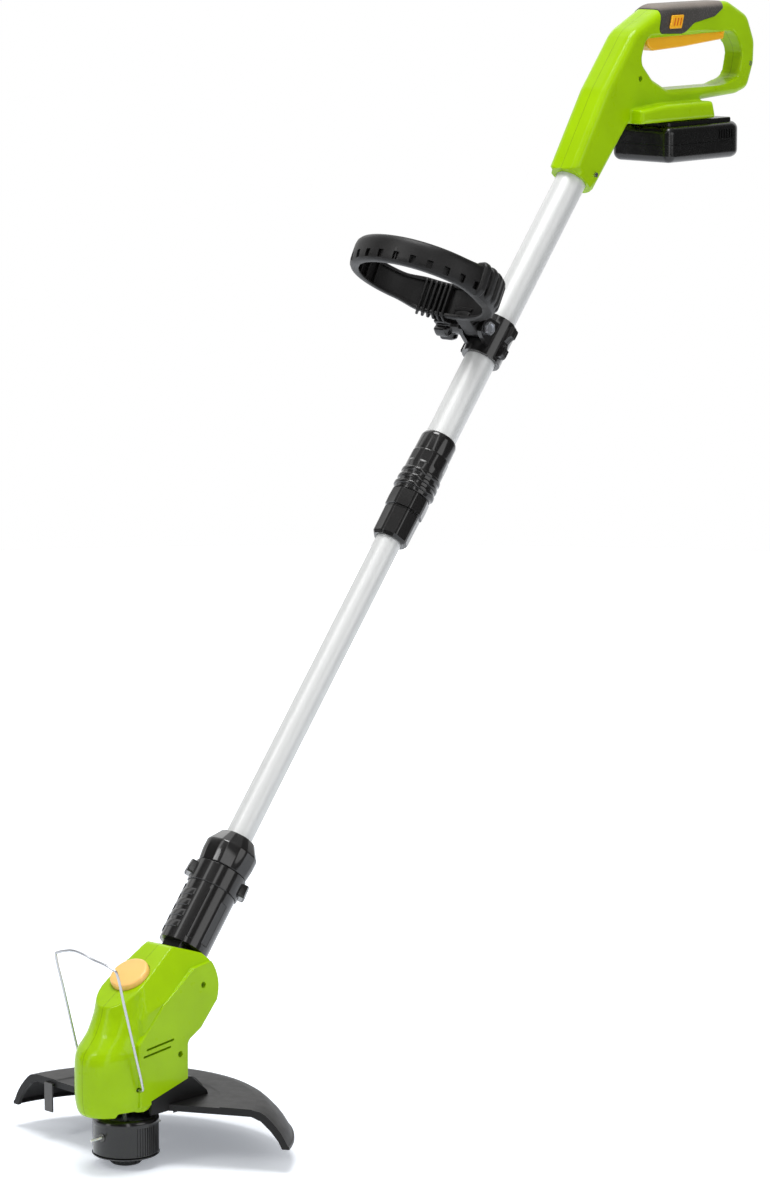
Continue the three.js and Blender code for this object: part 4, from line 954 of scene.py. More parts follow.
class BuildHead(TrimmerOperator):
    """Models the head's shells with their vents, seats and screws"""
    bl_idname = "trimmer.head"
    bl_label = "Head"

    def sides(self, bm, half, swing, tip, drop=0.0):
        """Cuts both sides along planes that stand on the inclined face, a half width apart.

        Swing closes the planes towards the rear and tip towards the face, in degrees, and drop
        is how far below the face they are placed.
        """
        for side in (-1, 1):
            tilt = (BUTTON @ shift(0, side * half, -drop) @ turn("Z", -side * swing)
                    @ turn("X", side * tip))
            sliced = bmesh.ops.bisect_plane(
                bm, geom=bm.verts[:] + bm.edges[:] + bm.faces[:],
                plane_co=tilt.translation, plane_no=tilt.to_3x3() @ Vector((0, side, 0)),
                clear_outer=True)
            rim = [e for e in sliced["geom_cut"] if isinstance(e, bmesh.types.BMEdge)]
            bmesh.ops.contextual_create(bm, geom=rim)
        return bm

    def arc(self, radius, start, end, steps):
        """Points round the tilting axle, between angles above the level."""
        pivot_x, pivot_z = on_shaft(PIVOT)
        angles = [math.radians(start + (end - start) * i / steps) for i in range(steps + 1)]
        return [
            (pivot_x + radius * math.cos(a), pivot_z + radius * math.sin(a)) for a in angles]

    def knee(self):
        knee = prism([
            (-8, 54), (-8, 118), (-9, 140), (1, face_height(1)), (45, face_height(45), 5),
            on_shaft(118), *self.arc(39.7, 44.1, -27.4, 11), (67, 118, 7), (50, 109, 6),
            (48.5, 68)], 32.4, 5, 3)
        return self.sides(knee, 21.4, 7, 24.5)

    def panel(self):
        """The raised field on both sides, under the waist that runs up to the axle."""
        panel = prism([
            (-14, 60), (-15, 118, 4), (16, 149, 14), (58, 175, 4), *self.arc(38.2, 38, -20, 8),
            (64.5, 119, 6), (47.6, 110, 6), (47, 60)], 33.6, 1.4, 3)
        return self.sides(panel, 33.4, 2, 3, 24)

    def build(self):
        levels = [  # height, X of the centre, and shares of the half length and half width
            (52, -8, 0, 0), (52, -8, 0.8, 0.8), (53, -8, 0.88, 0.88), (56, -8, 0.935, 0.935),
            (60, -8, 0.965, 0.965), (66, -8, 0.99, 0.99), (75, -8, 1, 1), (93, -8, 1, 1),
            (101, -8, 0.995, 0.995), (107, -7.8, 0.975, 0.985), (112, -7, 0.94, 0.97),
            (115, -6, 0.905, 0.945), (118, -4.8, 0.86, 0.92), (122, -3.4, 0.805, 0.895),
            (126, -2.2, 0.755, 0.875), (134, -0.8, 0.69, 0.85), (141, -0.8, 0.62, 0.81),
            (148, -1.5, 0.565, 0.77), (156, -2, 0.52, 0.72), (166, -2, 0.5, 0.69),
            (184, -2, 0.5, 0.68), (184, -2, 0, 0)]
        half_length, half_width = 46, 32
        barrel = turned(
            [(1 if long else 0, i) for i, (_, _, long, _) in enumerate(levels)], loop=False)
        for vert in barrel.verts:
            height, centre, long, wide = levels[round(vert.co.z)]
            vert.co = (
                centre + vert.co.x * half_length * long, vert.co.y * half_width * wide, height)
        above = prism([
            (-70, face_height(-70)), (50, face_height(50)), (50, 240), (-70, 240)], 60)
        form = blended(together(self.knee(), cut(barrel, above)), sizes().skin / MM, 2)
        form = joined(form, self.panel())

        pivot = SHAFT @ shift(0, 0, PIVOT)
        slot_half, side, far = TONGUE_HALF + RUN, 16.4, 64
        swung = turn("Z", -40)  # as far as the head tilts
        corners = [swung @ Vector((side, far, 0)), swung @ Vector((side, 0, 0))]
        way = prism([
            (-side, 0), (-side, far), (far * 0.4, far + 6), *((c.x, c.y) for c in corners)],
            slot_half)
        cap, flange, stem = 18.5, 20.1, 5  # radii of the tilt button
        tools = [
            at(rod(TONGUE_RADIUS + RUN, -slot_half, slot_half, 96), pivot, CROSSWISE),
            at(way, pivot),
            rod(10, 51, 60),
            at(rod(cap + RUN, -6, 20, 96), BUTTON),
            at(rod(flange + RUN, -9.6, -3, 96), BUTTON),
            at(rod(stem + RUN, -40, 0), BUTTON),
            at(rod(AXLE_RADIUS + GAP, -32.8, 32.8), shift(*pivot.translation), CROSSWISE),
            at(rod(2.3, -60, 60, 24), shift(BAIL_X, 0, BAIL_HEIGHT), CROSSWISE),
            prism([
                (-0.6, 0), (-0.6, collar_line(-0.6) + GAP), (51, collar_line(51) + GAP),
                (51, 0)], 60),
            prism([(-34, 49), (-34, 57.4, 2), (16, 57.4, 2), (16, 49)], 29.4),
        ]
        for i in (0, 1):  # vents
            tools.append(prism([
                (-6 - 4 * i, 111 - 6 * i, 0.9), (29 - 4 * i, 114.4 - 6 * i, 0.9),
                (29 - 4 * i, 116.4 - 6 * i, 0.9), (-6 - 4 * i, 113 - 6 * i, 0.9)], 60))
        seat, top = 20, 29  # of the screws' heads, from the middle plane
        for x, z in HEAD_SCREWS:
            tools.append(at(rod(2.9, -60, GAP - seat, 32), shift(x, 0, z), CROSSWISE))
        shell = cut(form, *tools)
        piece("head_shell_skin", shell, "head", "green_shell",
              ["head_shell_left", "head_shell_right"])

        for i, (x, z) in enumerate(HEAD_SCREWS):
            screw = cut(rod(2.2, seat, top, 32), *cross_recess(1.5, 1.6, top))
            at(screw, shift(x, 0, z), turn("X", 90))
            piece(f"head_screw_{i + 1}_skin", screw, "head", "steel", [f"head_screw_{i + 1}"])

        button = turned([
            (0, -32), (stem, -32), (stem, -4.9), (flange, -4.9), (flange, -3.3), (cap, -3.3),
            (cap, 3.2), (18.2, 4.3), (17.4, 5.1), (15.9, 5.5), (14.6, 5.3), (9, 5.75),
            (0, 6)], loop=False)
        piece("tilt_button_skin", at(button, BUTTON), "tilt_button", "peach_plastic",
              ["tilt_button"], 0.0003, 50)


class BuildSpool(TrimmerOperator):
    """Models the spool with its line, cap and bump knob"""
    bl_idname = "trimmer.spool"
    bl_label = "Spool"

    def build(self):
        cup = turned([
            (2.85, 36.6), (8, 36.6), (8, 44.4), (27.6, 44.4), (27.6, 12), (29.2, 12), (29.9, 12.8),
            (30, 38.6), (30.3, 40.2), (30.6, 40.8), (30.6, 43), (29.8, 45), (28.3, 46.2),
            (26.6, 46.6), (2.85, 46.6)], 160)
        line_way = shift(0, 0, LINE_HEIGHT) @ LENGTHWISE
        holes = at(rod(2.6, -50, 50, 24), line_way)
        grooves = [
            at(block(29.1, 31, -0.75, 0.75, 13.6, 39.4, 0.3), turn("Z", side + step * 5.2))
            for side in (-84, 96) for step in range(-6, 7)]
        piece("spool_housing_skin", cut(cup, holes, *grooves), "spool", "black_plastic",
              ["spool_housing"])
        eyelets = []
        for angle in (0, 180):
            eyelet = turned([
                (1.4, 27.4), (2.55, 27.4), (2.55, 29.6), (3.7, 29.9), (3.7, 30.6), (3, 31.1),
                (1.7, 31.1), (1.4, 30.8)], 32)
            eyelets.append(at(eyelet, turn("Z", angle), line_way))
        piece("line_eyelets", together(*eyelets), "spool", "steel", finish="blade_steel")

        cap = turned([
            (15.4, 9.6), (27.2, 9.6), (29.6, 10.2), (30.6, 11.1), (30.6, 11.7), (27.5, 11.7),
            (27.5, 17), (25.8, 17), (25.8, 11.9), (15.4, 11.9)], 128)
        dimples = [
            at(block(18, 24.6, -1.1, 1.1, 8, 10.2, 0.4), turn("Z", angle))
            for angle in range(0, 360, 30)]
        piece("spool_cap_skin", cut(cap, *dimples), "spool", "black_plastic", ["spool_cap"])

        knob = turned([
            (0, 0), (8.6, 0), (9.6, 0.2), (13.2, 1.4), (14.6, 3), (15, 4.6), (15, 12.2),
            (17, 12.2), (17, 14.2), (8.6, 14.2), (8.6, 32.6), (0, 32.6)], 96, False)
        grips = [
            at(block(13.9, 18, -0.9, 0.9, 2.4, 9.4, 0.3), turn("Z", angle))
            for angle in range(0, 360, 20)]
        piece("bump_knob_skin", cut(knob, *grips), "bump_knob", "black_plastic", ["bump_knob"])

        coil = [(23.6, 23.3), (14.3, 23.3), (14.3, 39.7), (23.6, 39.7)]
        for i in range(7, -1, -1):
            z = 24.4 + i * 2.03
            coil += [(23.55, z + 0.75), (23.85, z), (23.55, z - 0.75)]
        piece("line_winding_skin", turned(coil), "spool", "nylon_line", ["line_winding"])
        for name, angle in (("a", 0), ("b", 180)):
            end = at(rod(1.1, 23.9, 44, 16), turn("Z", angle), line_way)
            piece(f"line_end_{name}_skin", end, "spool", "nylon_line", [f"line_end_{name}"],
                  0.0001, 60)


class BuildGuard(TrimmerOperator):
    """Models the guard over the line, its collar, ribs and cutter"""
    bl_idname = "trimmer.guard"
    bl_label = "Guard"
    start, end = -61, 84  # degrees round its axis
    aside = 7  # of its axis from the spool's
    wall = 2.6
    rise = [
        (38, 56.2), (92, 55.9), (93.4, 56.7), (122, 56.2), (124.6, 55.2), (130.6, 54.2),
        (135, 51.4), (140, 46.8), (145.4, 41), (149.6, 35.4), (153, 29.6), (155.4, 24.8),
        (157, 21)]

    def skin(self, angle_from, angle_to, profile, steps):
        """A closed profile of (radius, height) swept between two angles about the guard's axis."""
        bm = bmesh.new()
        first = turn("Z", angle_from)
        points = [bm.verts.new(first @ Vector((radius, 0, z))) for radius, z in profile]
        edges = [bm.edges.new(pair) for pair in zip(points, points[1:] + points[:1])]
        bmesh.ops.spin(
            bm, geom=points + edges, cent=(0, 0, 0), axis=(0, 0, 1), steps=steps,
            angle=math.radians(angle_to - angle_from))
        ends = bmesh.ops.holes_fill(bm, edges=[e for e in bm.edges if e.is_boundary], sides=0)
        bmesh.ops.triangulate(bm, faces=ends["faces"], ngon_method="EAR_CLIP")
        return at(cleaned(bm), shift(0, self.aside, 0))

    def under(self, drop):
        """The upper profile followed by the same one lowered, which closes it."""
        lower = [(radius - drop * 0.5 if z < 50 else radius, z - drop) for radius, z in self.rise]
        lower[-1] = (self.rise[-1][0] - drop, self.rise[-1][1])
        lower[0] = (self.rise[0][0], self.rise[0][1] - drop)
        return self.rise + lower[::-1]

    def build(self):
        skirt = self.skin(self.start, self.end, self.under(self.wall), 110)
        lips = []
        for angle, width in ((self.start, 1.3), (self.end, -1.3)):
            lips.append(self.skin(min(angle, angle + width), max(angle, angle + width), [
                (60, 55.3), (91, 55.3), (122, 55.3), (130, 53.6), (135, 50.6), (145, 40.2),
                (152.4, 28.8), (155.6, 21), (150.4, 21), (147, 28), (140, 37), (131, 45.6),
                (122, 49.4), (36, 50.4), (36, 55.3)], 3))
        hem = self.skin(self.start, self.end, [
            (156.8, 24), (157, 21.6), (156.2, 21), (152.4, 21), (151.4, 22), (152.6, 25.4)], 110)
        ribs = [
            self.skin(angle - 0.5, angle + 0.5, [
                (60, 55.2), (122, 55), (130, 53), (137, 48), (148, 36), (149, 31), (139, 40),
                (128, 47.6), (60, 51)], 1)
            for angle in (-36, -12, 12, 36, 60)]
        skirt = joined(skirt, *lips, hem, *ribs)
        outline = [
            (-4, 50), (-4, collar_line(-4)), (50, collar_line(50), 2),
            (53, collar_line(50) - 0.6, 3), (60, 70, 5), (72, 60, 6), (76, 50)]
        inner = inset(outline, self.wall)
        tail = common(
            prism([(30, 46), (30, collar_line(30) - 1), (50, collar_line(50), 3),
                   (56, collar_line(50) - 1, 6), (74, 62, 9), (86, 46)], 32.6, 7, 5),
            raised([(20, -33), (52, -33, 16), (88, -20, 16), (88, 20, 16), (52, 33, 16),
                    (20, 33)], 40, 100, 0))
        collar = cut(
            joined(prism(outline, 33, 1.4, 3), tail), prism(inner, 30.4),
            block(-1.4, 84, -30.4, 30.4, 0, 53.1), block(-60, 49.2, -29, 29, 50, 100))
        guard = cut(
            joined(skirt, collar), block(-60, 0, -60, 60, 0, 100), rod(33, 0, 50.6, 96),
            rod(27, 0, 100, 96))
        piece("guard_skin", guard, "head", "black_plastic", ["guard"], 0.0004, 36,
              finish="matt_plastic")

        radius, half, place = 108, 5.5, turn("Z", 86)
        rivet_at = shift(radius, -6.5, 0)
        inside, outside = radius - half, radius + half
        blade = joined(
            block(inside, outside, -1.6, 0, 25.8, 52.8),
            block(inside, outside, -12, 0, 51.2, 52.8))
        blade = at(cut(blade, at(rod(1.6, 50, 54, 24), rivet_at)), place)
        piece("line_cutter_skin", blade, "head", "steel", ["line_cutter"], 0.0002,
              finish="blade_steel")
        rivet = turned([(0, 53), (2.8, 53), (2.6, 54.2), (1.6, 54.9), (0, 55)], 32, False)
        at(rivet, place, rivet_at, shift(0, 0, -4.2))
        piece("cutter_rivet", rivet, "head", "steel")


class BuildPlantGuard(TrimmerOperator):
    """Bends the wire loop that keeps the line off plants"""
    bl_idname = "trimmer.plant_guard"
    bl_label = "Plant guard"

    def build(self):
        low, high = Vector((BAIL_X, 0, BAIL_HEIGHT)), Vector((-47.5, 0, 194))
        rise = (high - low).normalized()
        inner, half, corner = 30, 38, 5  # in Y: its ends, its arms; and the bend over the arms
        route = []
        for side, high in ((-1, high), (1, high + rise * 5)):
            across = Vector((0, side, 0))
            arm = [
                low + across * inner, low + across * (half - 2.6), low + across * (half - 0.5)
                + rise * 1.4, low + rise * 5 + across * half]
            arm += [
                low.lerp(high - rise * corner, step / 4) + across * half for step in (1, 2, 3, 4)]
            arm += [
                high - rise * 1.2 + across * (half - 1.1), high + across * (half - 3.6)]
            arm += [
                high + rise * bow + across * reach for bow, reach in ((3.2, 25), (5.6, 12))]
            route.append(arm)
        crown = (route[0][-1] + route[1][-1]) / 2 + rise * 0.8
        loop = wire([*route[0], crown, *route[1][::-1]], 1.2, sides=16)
        piece("plant_guard_skin", loop, "plant_guard", "steel", ["plant_guard"])


class BuildHoop(TrimmerOperator):
    """Models the front hoop handle, its clamp, bolt and knob"""
    bl_idname = "trimmer.hoop"
    bl_label = "Hoop handle"

    def swell(self, bm):
        """Thickens the band on both sides of its arm, and fades out round it."""
        for vert in bm.verts:
            angle = math.degrees(math.atan2(-vert.co.y, vert.co.x))
            reach = (112 - angle) / 40 if angle > 0 else (62 + angle) / 24
            reach = min(1, max(0, reach))
            more = reach * reach * (3 - 2 * reach)
            vert.co.z *= 1 + 0.26 * more
            outward = Vector((vert.co.x, vert.co.y, 0)).normalized()
            if vert.co.to_2d().length > 67:  # its outer half
                vert.co += outward * 1.4 * more

    def build(self):
        bolt_x, bolt_z = on_shaft(784, -25)
        bolt = shift(bolt_x, 0, bolt_z)
        for side in ("front", "rear"):
            clamp = copied(f"clamp_{side}")
            piece(f"clamp_{side}_skin", clamp, "clamp", "black_plastic", [f"clamp_{side}"],
                  0.0008, 30, 3)

        place = shift(405, 0, 770) @ turn("Y", 28)  # of the band's middle
        band = turned([
            (66.4, -10.4), (62.4, -10.4), (61.6, -11.2), (61.6, -12.4), (62.6, -13.2),
            (66.8, -13.2), (69.2, -12.4), (70.7, -10.4), (71.4, -7), (71.5, -3), (71.5, 3),
            (71.4, 7), (70.7, 10.4), (69.2, 12.4), (66.8, 13.2), (62.6, 13.2), (61.6, 12.4),
            (61.6, 11.2), (62.4, 10.4), (66.4, 10.4)], 180)
        self.swell(band)
        notches = []
        for i in range(18):
            notch = block(67.4, 78, -2.9, 2.9, -10.6, -3, 0.7)
            notches.append(at(notch, turn("Z", 101 + 13.6 * i)))
        ribs = [
            at(block(62.6, 69, -0.8, 0.8, -11.5, 11.5, 0.3), turn("Z", angle))
            for angle in range(87, 280, 12)]
        fins = []
        for i in range(5):
            fin = prism([
                (60.4, -15, 3), (60.4, 17.4, 3), (70.4, 19, 5), (75, 14.4, 5), (75, -9, 5),
                (70.6, -15, 5)], 4.6, 3.4, 5)
            fins.append(at(fin, turn("Z", -48 - 10.5 * i)))
        for i in range(6):
            fin = prism([
                (59.4, -17.4, 4), (59.4, 16, 4), (70.6, 18, 5), (75.4, 13.6, 5),
                (75.4, -15, 5), (70.6, -20.4, 5)], 1.3, 1, 3)
            fins.append(at(fin, turn("Z", 17 + 4.6 * i)))
        band = at(joined(cut(band, *notches), *ribs, *fins), place)

        root = place @ Vector((69.5, 0, 0))
        arm = prism([
            (bolt_x - 8.1, bolt_z - 4), (bolt_x + 8.1, bolt_z + 4), (root.x + 4, root.z + 8, 3),
            (root.x - 12, root.z - 10, 3)], 9, 1.2, 2)
        eye_half, bolt_radius = 9, 3
        eye = at(rod(9, -eye_half, eye_half, 72), bolt, CROSSWISE)
        way = at(rod(65, -33, 33, 128), place)
        fins = []
        for i in range(5):
            centre = bolt.translation.lerp(root, 0.42 + i * 0.13)
            fin = block(-11.6, 11.6, -10.8, 10.8, -0.9, 0.9, 0.8)
            fins.append(at(fin, shift(centre.x, 0, centre.z), turn("Y", -32 + 5 * i)))
        arm = cut(joined(cut(arm, way), eye, *fins), way)
        swung = cut(grown(copied("clamp_front"), 0.5), at(rod(10, -60, 60), bolt, CROSSWISE))
        at(swung, bolt, turn("Y", -45), bolt.inverted())  # where the highest tilt brings it
        hoop = cut(
            joined(band, arm), at(rod(bolt_radius + GAP, -60, 60), bolt, CROSSWISE),
            at(rod(12.5, eye_half + GAP, 40), bolt, CROSSWISE),
            at(rod(12.5, -40, -eye_half - GAP), bolt, CROSSWISE), swung)
        piece("hoop_skin", hoop, "hoop", "black_plastic", ["hoop"], 0.0003, 40,
              finish="matt_plastic")

        shank = joined(
            rod(bolt_radius, -15.4, 39.4, 32),
            cut(rod(6.5, -18.7, -14.7, 6), rod(4.2, -20, -17.4, 32)))
        piece("hoop_bolt_skin", at(shank, bolt, CROSSWISE), "clamp", "steel", ["hoop_bolt"],
              0.0003)

        knob = turned([
            (3.15, 14.7), (8.4, 14.7), (9, 15.3), (9.2, 25), (12.6, 26.2), (14.2, 27.4),
            (15, 29.4), (15, 39.6), (14.2, 41.8), (12.4, 42.7), (7.4, 42.7), (6.6, 41.9),
            (6.2, 40.3), (3.15, 40.3)])
        flute(knob, 6, 3.6, 9.5, 1.6)
        piece("wing_knob_skin", at(knob, bolt, CROSSWISE), "wing_knob", "black_plastic",
              ["wing_knob"], 0.0004, 40)


HANDLE_MOUTH = 972.4  # along the shaft
RAIL_NECK, RAIL_HALF = 19, 25  # half widths of the battery's rails, below and where they slide
RAIL_FOOT, RAIL_TOP = 900, 904.6
SLIDER_X, SLIDER_Z = (747.6, 758.4), (990.1, 995.9)  # from and to, of its stem at rest
SLIDER_TRAVEL = 4


def handle_outline():
    """The closed loop round the hand, with the sleeve over the shaft and the battery's dock."""
    foot = HANDLE_MOUTH + 0.2
    return [
        on_shaft(foot, -20.4), on_shaft(foot, 18), (686, 897, 9), (694, 898), (798, 898),
        (799, 914), (862, 917, 10), (881, 922, 12), (892, 946, 14), (893, 968, 16), (880, 994, 18),
        (846, 1009.5, 20), (742, 1009.5, 26), (692, 986, 30), (648, 932, 30)]


WINDOW = [
    (704, 956, 10), (712, 978, 10), (855, 980, 12), (870, 960, 14), (864, 934, 12), (838, 927, 9),
    (745, 927, 10), (722, 938, 10)]
PATCH = [
    (733, 1030), (733, 1005, 8), (728, 982.5, 5), (767, 981, 8), (783, 991, 8), (818, 996, 6),
    (832, 1003, 3), (838, 1030)]
TRIGGER = [
    (721, 989, 2), (724, 970, 5), (732, 965, 5), (780, 967, 20), (844, 972, 2), (846, 984, 3),
    (800, 984.5)]


class BuildHandle(TrimmerOperator):
    """Models the rear handle with its grip insert, trigger, slider and screws"""
    bl_idname = "trimmer.handle"
    bl_label = "Rear handle"

    def loop(self):
        """The loop round the hand, which narrows towards its rear."""
        half, taper_from, taper = 18, 790, math.radians(4.5)
        body = prism(handle_outline(), half, 8, 6, 8)
        bmesh.ops.bisect_plane(
            body, geom=body.verts[:] + body.edges[:] + body.faces[:],
            plane_co=(taper_from, 0, 0), plane_no=(1, 0, 0))
        for vert in body.verts:
            behind = max(0, vert.co.x - taper_from)
            vert.co.y *= 1 - behind * math.tan(taper) / half
        window = prism(WINDOW, 60, steps=8)
        flares = []
        for side in (-1, 1):
            flare = prism(inset(WINDOW, -5), 10, 9.9, 6, 8)
            flares.append(at(flare, shift(0, side * 23, 0)))
        return cut(body, window, *flares)

    def build(self):
        sleeve = at(common(turned([
            (0, 966), (20.6, 966), (20.8, 984), (21.3, 990), (23, 1046), (0, 1046)],
            loop=False), block(-60, 60, -18.2, 18.2, 960, 1060)), SHAFT)
        dock = prism([
            (686, 897), (802, 897), (797, 914), (728, 914), (686, 910.5)], 33, 4.5, 3)
        form = blended(together(self.loop(), sleeve, dock), sizes().skin / MM, 4)
        form = cut(form, at(block(-60, 60, -60, 60, 940, HANDLE_MOUTH), SHAFT))
        mouth = at(rod(UPPER_TUBE + GAP, 960, 1000, 96), SHAFT)
        rails = [
            block(708, 822, -RAIL_NECK - RUN, RAIL_NECK + RUN, 892, 903),
            block(708, 822, -RAIL_HALF - RUN, RAIL_HALF + RUN, RAIL_FOOT - RUN, RAIL_TOP + RUN)]
        trigger_room = prism([(718, 985), (850, 979), (850, 988), (775, 991), (718, 997.2)], 8)
        pivot = shift(TRIGGER_X, 0, TRIGGER_HEIGHT) @ CROSSWISE
        pin = at(rod(2.4 + GAP, -11 - GAP, 11 + GAP, 32), pivot)
        groove = cut(prism(inset(PATCH, -0.45), 40), grown(form, -1.6))
        slider_room = block(
            SLIDER_X[0] - RUN, SLIDER_X[1] + SLIDER_TRAVEL + RUN, -60, GAP - 10,
            SLIDER_Z[0] - RUN, SLIDER_Z[1] + RUN)
        screws = [
            at(rod(2.9, -60, -head + 0.2, 32), shift(x, 0, z), CROSSWISE)
            for x, z, head in self.screws()]
        shell = cut(
            form, mouth, *rails, prism(inset(TRIGGER, -1), 8), trigger_room, pin, groove,
            slider_room, *screws)
        piece("handle_shell_skin", shell, "handle", "green_shell",
              ["handle_shell_left", "handle_shell_right"])

        grip = cut(common(grown(form, 0.6), prism(PATCH, 40)), grown(form, -1.5), slider_room)
        piece("soft_grip_skin", grip, "handle", "soft_grip", ["soft_grip"])
        self.controls()
        for i, (x, z, head) in enumerate(self.screws()):
            screw = cut(rod(2.4, head - 6, head, 32), *cross_recess(1.6, 1.6, head))
            at(screw, shift(x, 0, z), turn("X", 90))
            piece(f"handle_screw_{i + 1}_skin", screw, "handle", "steel",
                  [f"handle_screw_{i + 1}"])

    def screws(self):
        """X, Z and how far each head lies from the middle plane."""
        return [(*on_shaft(986, 7.5), 20), (700, 940, 15), (884, 946, 10)]

    def controls(self):
        """The trigger, and the lock-off slider on the near side of the grip."""
        pivot = shift(TRIGGER_X, 0, TRIGGER_HEIGHT) @ CROSSWISE
        trigger = joined(prism(TRIGGER, 7.6, 2, 4, 10), at(rod(2.4, -11, 11), pivot))
        piece("trigger_skin", trigger, "trigger", "orange_plastic", ["trigger"], 0.0003, 40)
        face = -18.9  # Y of the slider's outer side, without its rim
        pad = prism([
            (742, 986.5, 1), (760, 986.5, 1), (764, 999.5, 1), (746, 999.5, 1)], 1, 0.7, 3)
        at(pad, shift(0, face - 1, 0))
        stem = block(*SLIDER_X, face - 0.5, -10, *SLIDER_Z)
        hollows = []
        for i in range(3):
            hollow = prism([
                (747 + 4.6 * i, 989, 0.6), (749.4 + 4.6 * i, 989, 0.6),
                (751.8 + 4.6 * i, 997, 0.6), (749.4 + 4.6 * i, 997, 0.6)], 1)
            hollows.append(at(hollow, shift(0, face - 2.6, 0)))
        slider = cut(joined(pad, stem), *hollows)
        piece("lock_off_slider_skin", slider, "lock_off_slider", "orange_plastic",
              ["lock_off_slider"], 0.0002, 40)
        ridges = []
        for i in range(3):
            ridge = prism([
                (747.2 + 4.6 * i, 989.3), (748.9 + 4.6 * i, 989.3), (751.3 + 4.6 * i, 996.7),
                (749.6 + 4.6 * i, 996.7)], 0.6, 0.3, 2)
            ridges.append(at(ridge, shift(0, face - 1.3, 0)))
        piece("slider_ridges", together(*ridges), "lock_off_slider", "orange_plastic",
              finish="deep_orange")


class BuildBattery(TrimmerOperator):
    """Models the battery case, its rails and its latch"""
    bl_idname = "trimmer.battery"
    bl_label = "Battery"

    def plan(self, less=0.0, corner=22, front=9):
        """The case from above, smaller by less, with the radii of its rear and front corners."""
        return [
            (722 + less, -37.5 + less, front), (840, -37.5 + less, corner), (846 - less, 0),
            (840, 37.5 - less, corner), (722 + less, 37.5 - less, front)]

    def build(self):
        split = 875  # between the two halves of the case
        lower = raised(self.plan(), 857, 898, 7.5, 8, 10)
        room = raised(self.plan(3, 18, 6), 859.8, 890, 5.5)
        lower = cut(lower, room, block(700, 870, -60, 60, split - GAP, 900))
        piece("battery_case_lower_skin", lower, "battery", "battery_plastic",
              ["battery_case_lower"], 0.0003, 40)
        top = cut(
            raised(self.plan(), 850, 892.4, 7.5, 8, 10),
            block(700, 870, -60, 60, 840, split))
        upper = joined(
            top, common(
                raised(self.plan(8, 14, 4), 884, 896.6, 1.6, 4, 8),
                block(700, 828, -60, 60, 880, 900)),
            block(732, 800, -RAIL_NECK, RAIL_NECK, 895, 901),
            block(732, 800, -RAIL_HALF, RAIL_HALF, RAIL_FOOT, RAIL_TOP, 0.4))
        grips = [
            at(block(-0.8, 0.8, *sorted((side * 36, side * 45)), 877, 886, 0.4), shift(x, 0, 0))
            for side in (-1, 1) for x in range(800, 823, 4)]
        slots = [block(731, 754, y - 1, y + 1, 899.6, 930) for y in (-12, 12)]
        front, rear, half, foot, travel = 803, 818, 14, 888.6, 3  # of the latch
        pocket = block(
            front - GAP, rear + GAP, -half - GAP, half + GAP, foot - travel - GAP, 901.6)
        upper = cut(upper, *grips, *slots, pocket)
        piece("battery_case_upper_skin", upper, "battery", "battery_plastic",
              ["battery_case_upper"], 0.0003, 40)
        latch = prism([
            (front, foot), (rear, foot), (rear, 898.1, 1.5), (805, 901, 1), (front, 901)],
            half, 0.6, 2)
        ribs = [
            at(block(-0.5, 0.5, -11, 11, -1.2, 0.5, 0.3),
               shift(807.5 + 2.4 * i, 0, 900.9 - 0.55 * i))
            for i in range(4)]
        piece("battery_latch_skin", cut(latch, *ribs), "battery_latch", "grey_plastic",
              ["battery_latch"], 0.0002, 40)


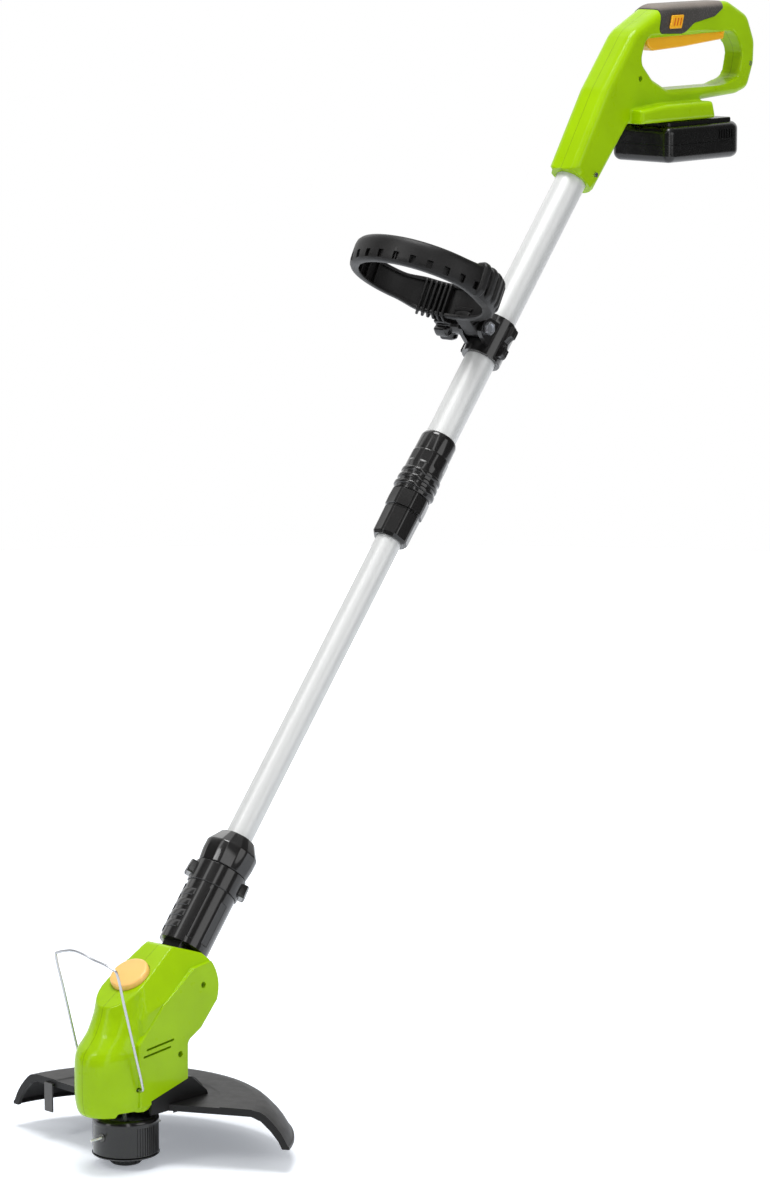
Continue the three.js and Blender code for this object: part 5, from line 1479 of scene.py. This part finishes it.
class DressFrame(TrimmerOperator):
    """Gives the CAD nodes that stay in view their finishes"""
    bl_idname = "trimmer.frame"
    bl_label = "Inner pieces"

    def build(self):
        slots = {row["node"]: row["material_slot"] for row in frame["record"]["subparts"]}
        for name, node in frame["nodes"].items():
            if not node.hide_render:
                node.data.materials.clear()
                node.data.materials.append(finish_of(slots[name]))
        down = SHAFT.to_3x3() @ Vector((0, 0, -1))
        inward = BUTTON.to_3x3() @ Vector((0, 0, -1))
        self.shorten("edging_spring", "edging_ring_pull", down, 4)
        self.shorten("tilt_button_spring", "tilt_button_press", inward, 4)
        self.shorten("bump_spring", "bump_knob_tap", Vector((0, 0, 1)), 3)

    def shorten(self, name, joint, push, travel):
        """Measures a spring along the way its joint pushes and gives it a mesh of its own."""
        spring = frame["nodes"][name]
        points = [spring.matrix_world @ vert.co for vert in spring.data.vertices]
        ends = [min(points, key=push.dot), max(points, key=push.dot)]
        span = (ends[1] - ends[0]).dot(push)
        1 - (travel + 2 * GAP) * MM / span
        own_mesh(spring)


STEPS = (
    BuildStage, BuildShaft, BuildNeck, BuildHead, BuildSpool, BuildGuard, BuildPlantGuard,
    BuildHoop, BuildHandle, BuildBattery, DressFrame)


class TrimmerPanel(bpy.types.Panel):
    """Lists the settings and the steps of the build"""
    bl_idname = "VIEW3D_PT_trimmer"
    bl_label = "String trimmer"
    bl_space_type = "VIEW_3D"
    bl_region_type = "UI"
    bl_category = "Trimmer"

    def draw(self, context):
        for settings in (
                context.scene.trimmer_colours, context.scene.trimmer_sizes,
                context.scene.trimmer_studio):
            box = self.layout.box()
            for name in settings.__annotations__:
                box.prop(settings, name)
        for step in STEPS:
            self.layout.operator(step.bl_idname)


CLASSES = (TrimmerColours, TrimmerSizes, TrimmerStudio, *STEPS, TrimmerPanel)


def register():
    for item in CLASSES:
        bpy.utils.register_class(item)
    scene = bpy.types.Scene
    scene.trimmer_colours = bpy.props.PointerProperty(type=TrimmerColours)
    scene.trimmer_sizes = bpy.props.PointerProperty(type=TrimmerSizes)
    scene.trimmer_studio = bpy.props.PointerProperty(type=TrimmerStudio)


def unregister():
    for name in ("trimmer_studio", "trimmer_sizes", "trimmer_colours"):
        delattr(bpy.types.Scene, name)
    for item in reversed(CLASSES):
        bpy.utils.unregister_class(item)


def main():
    register()
    for step in STEPS:
        group, name = step.bl_idname.split(".")
        getattr(getattr(bpy.ops, group), name)()


if __name__ == "__main__":
    main()
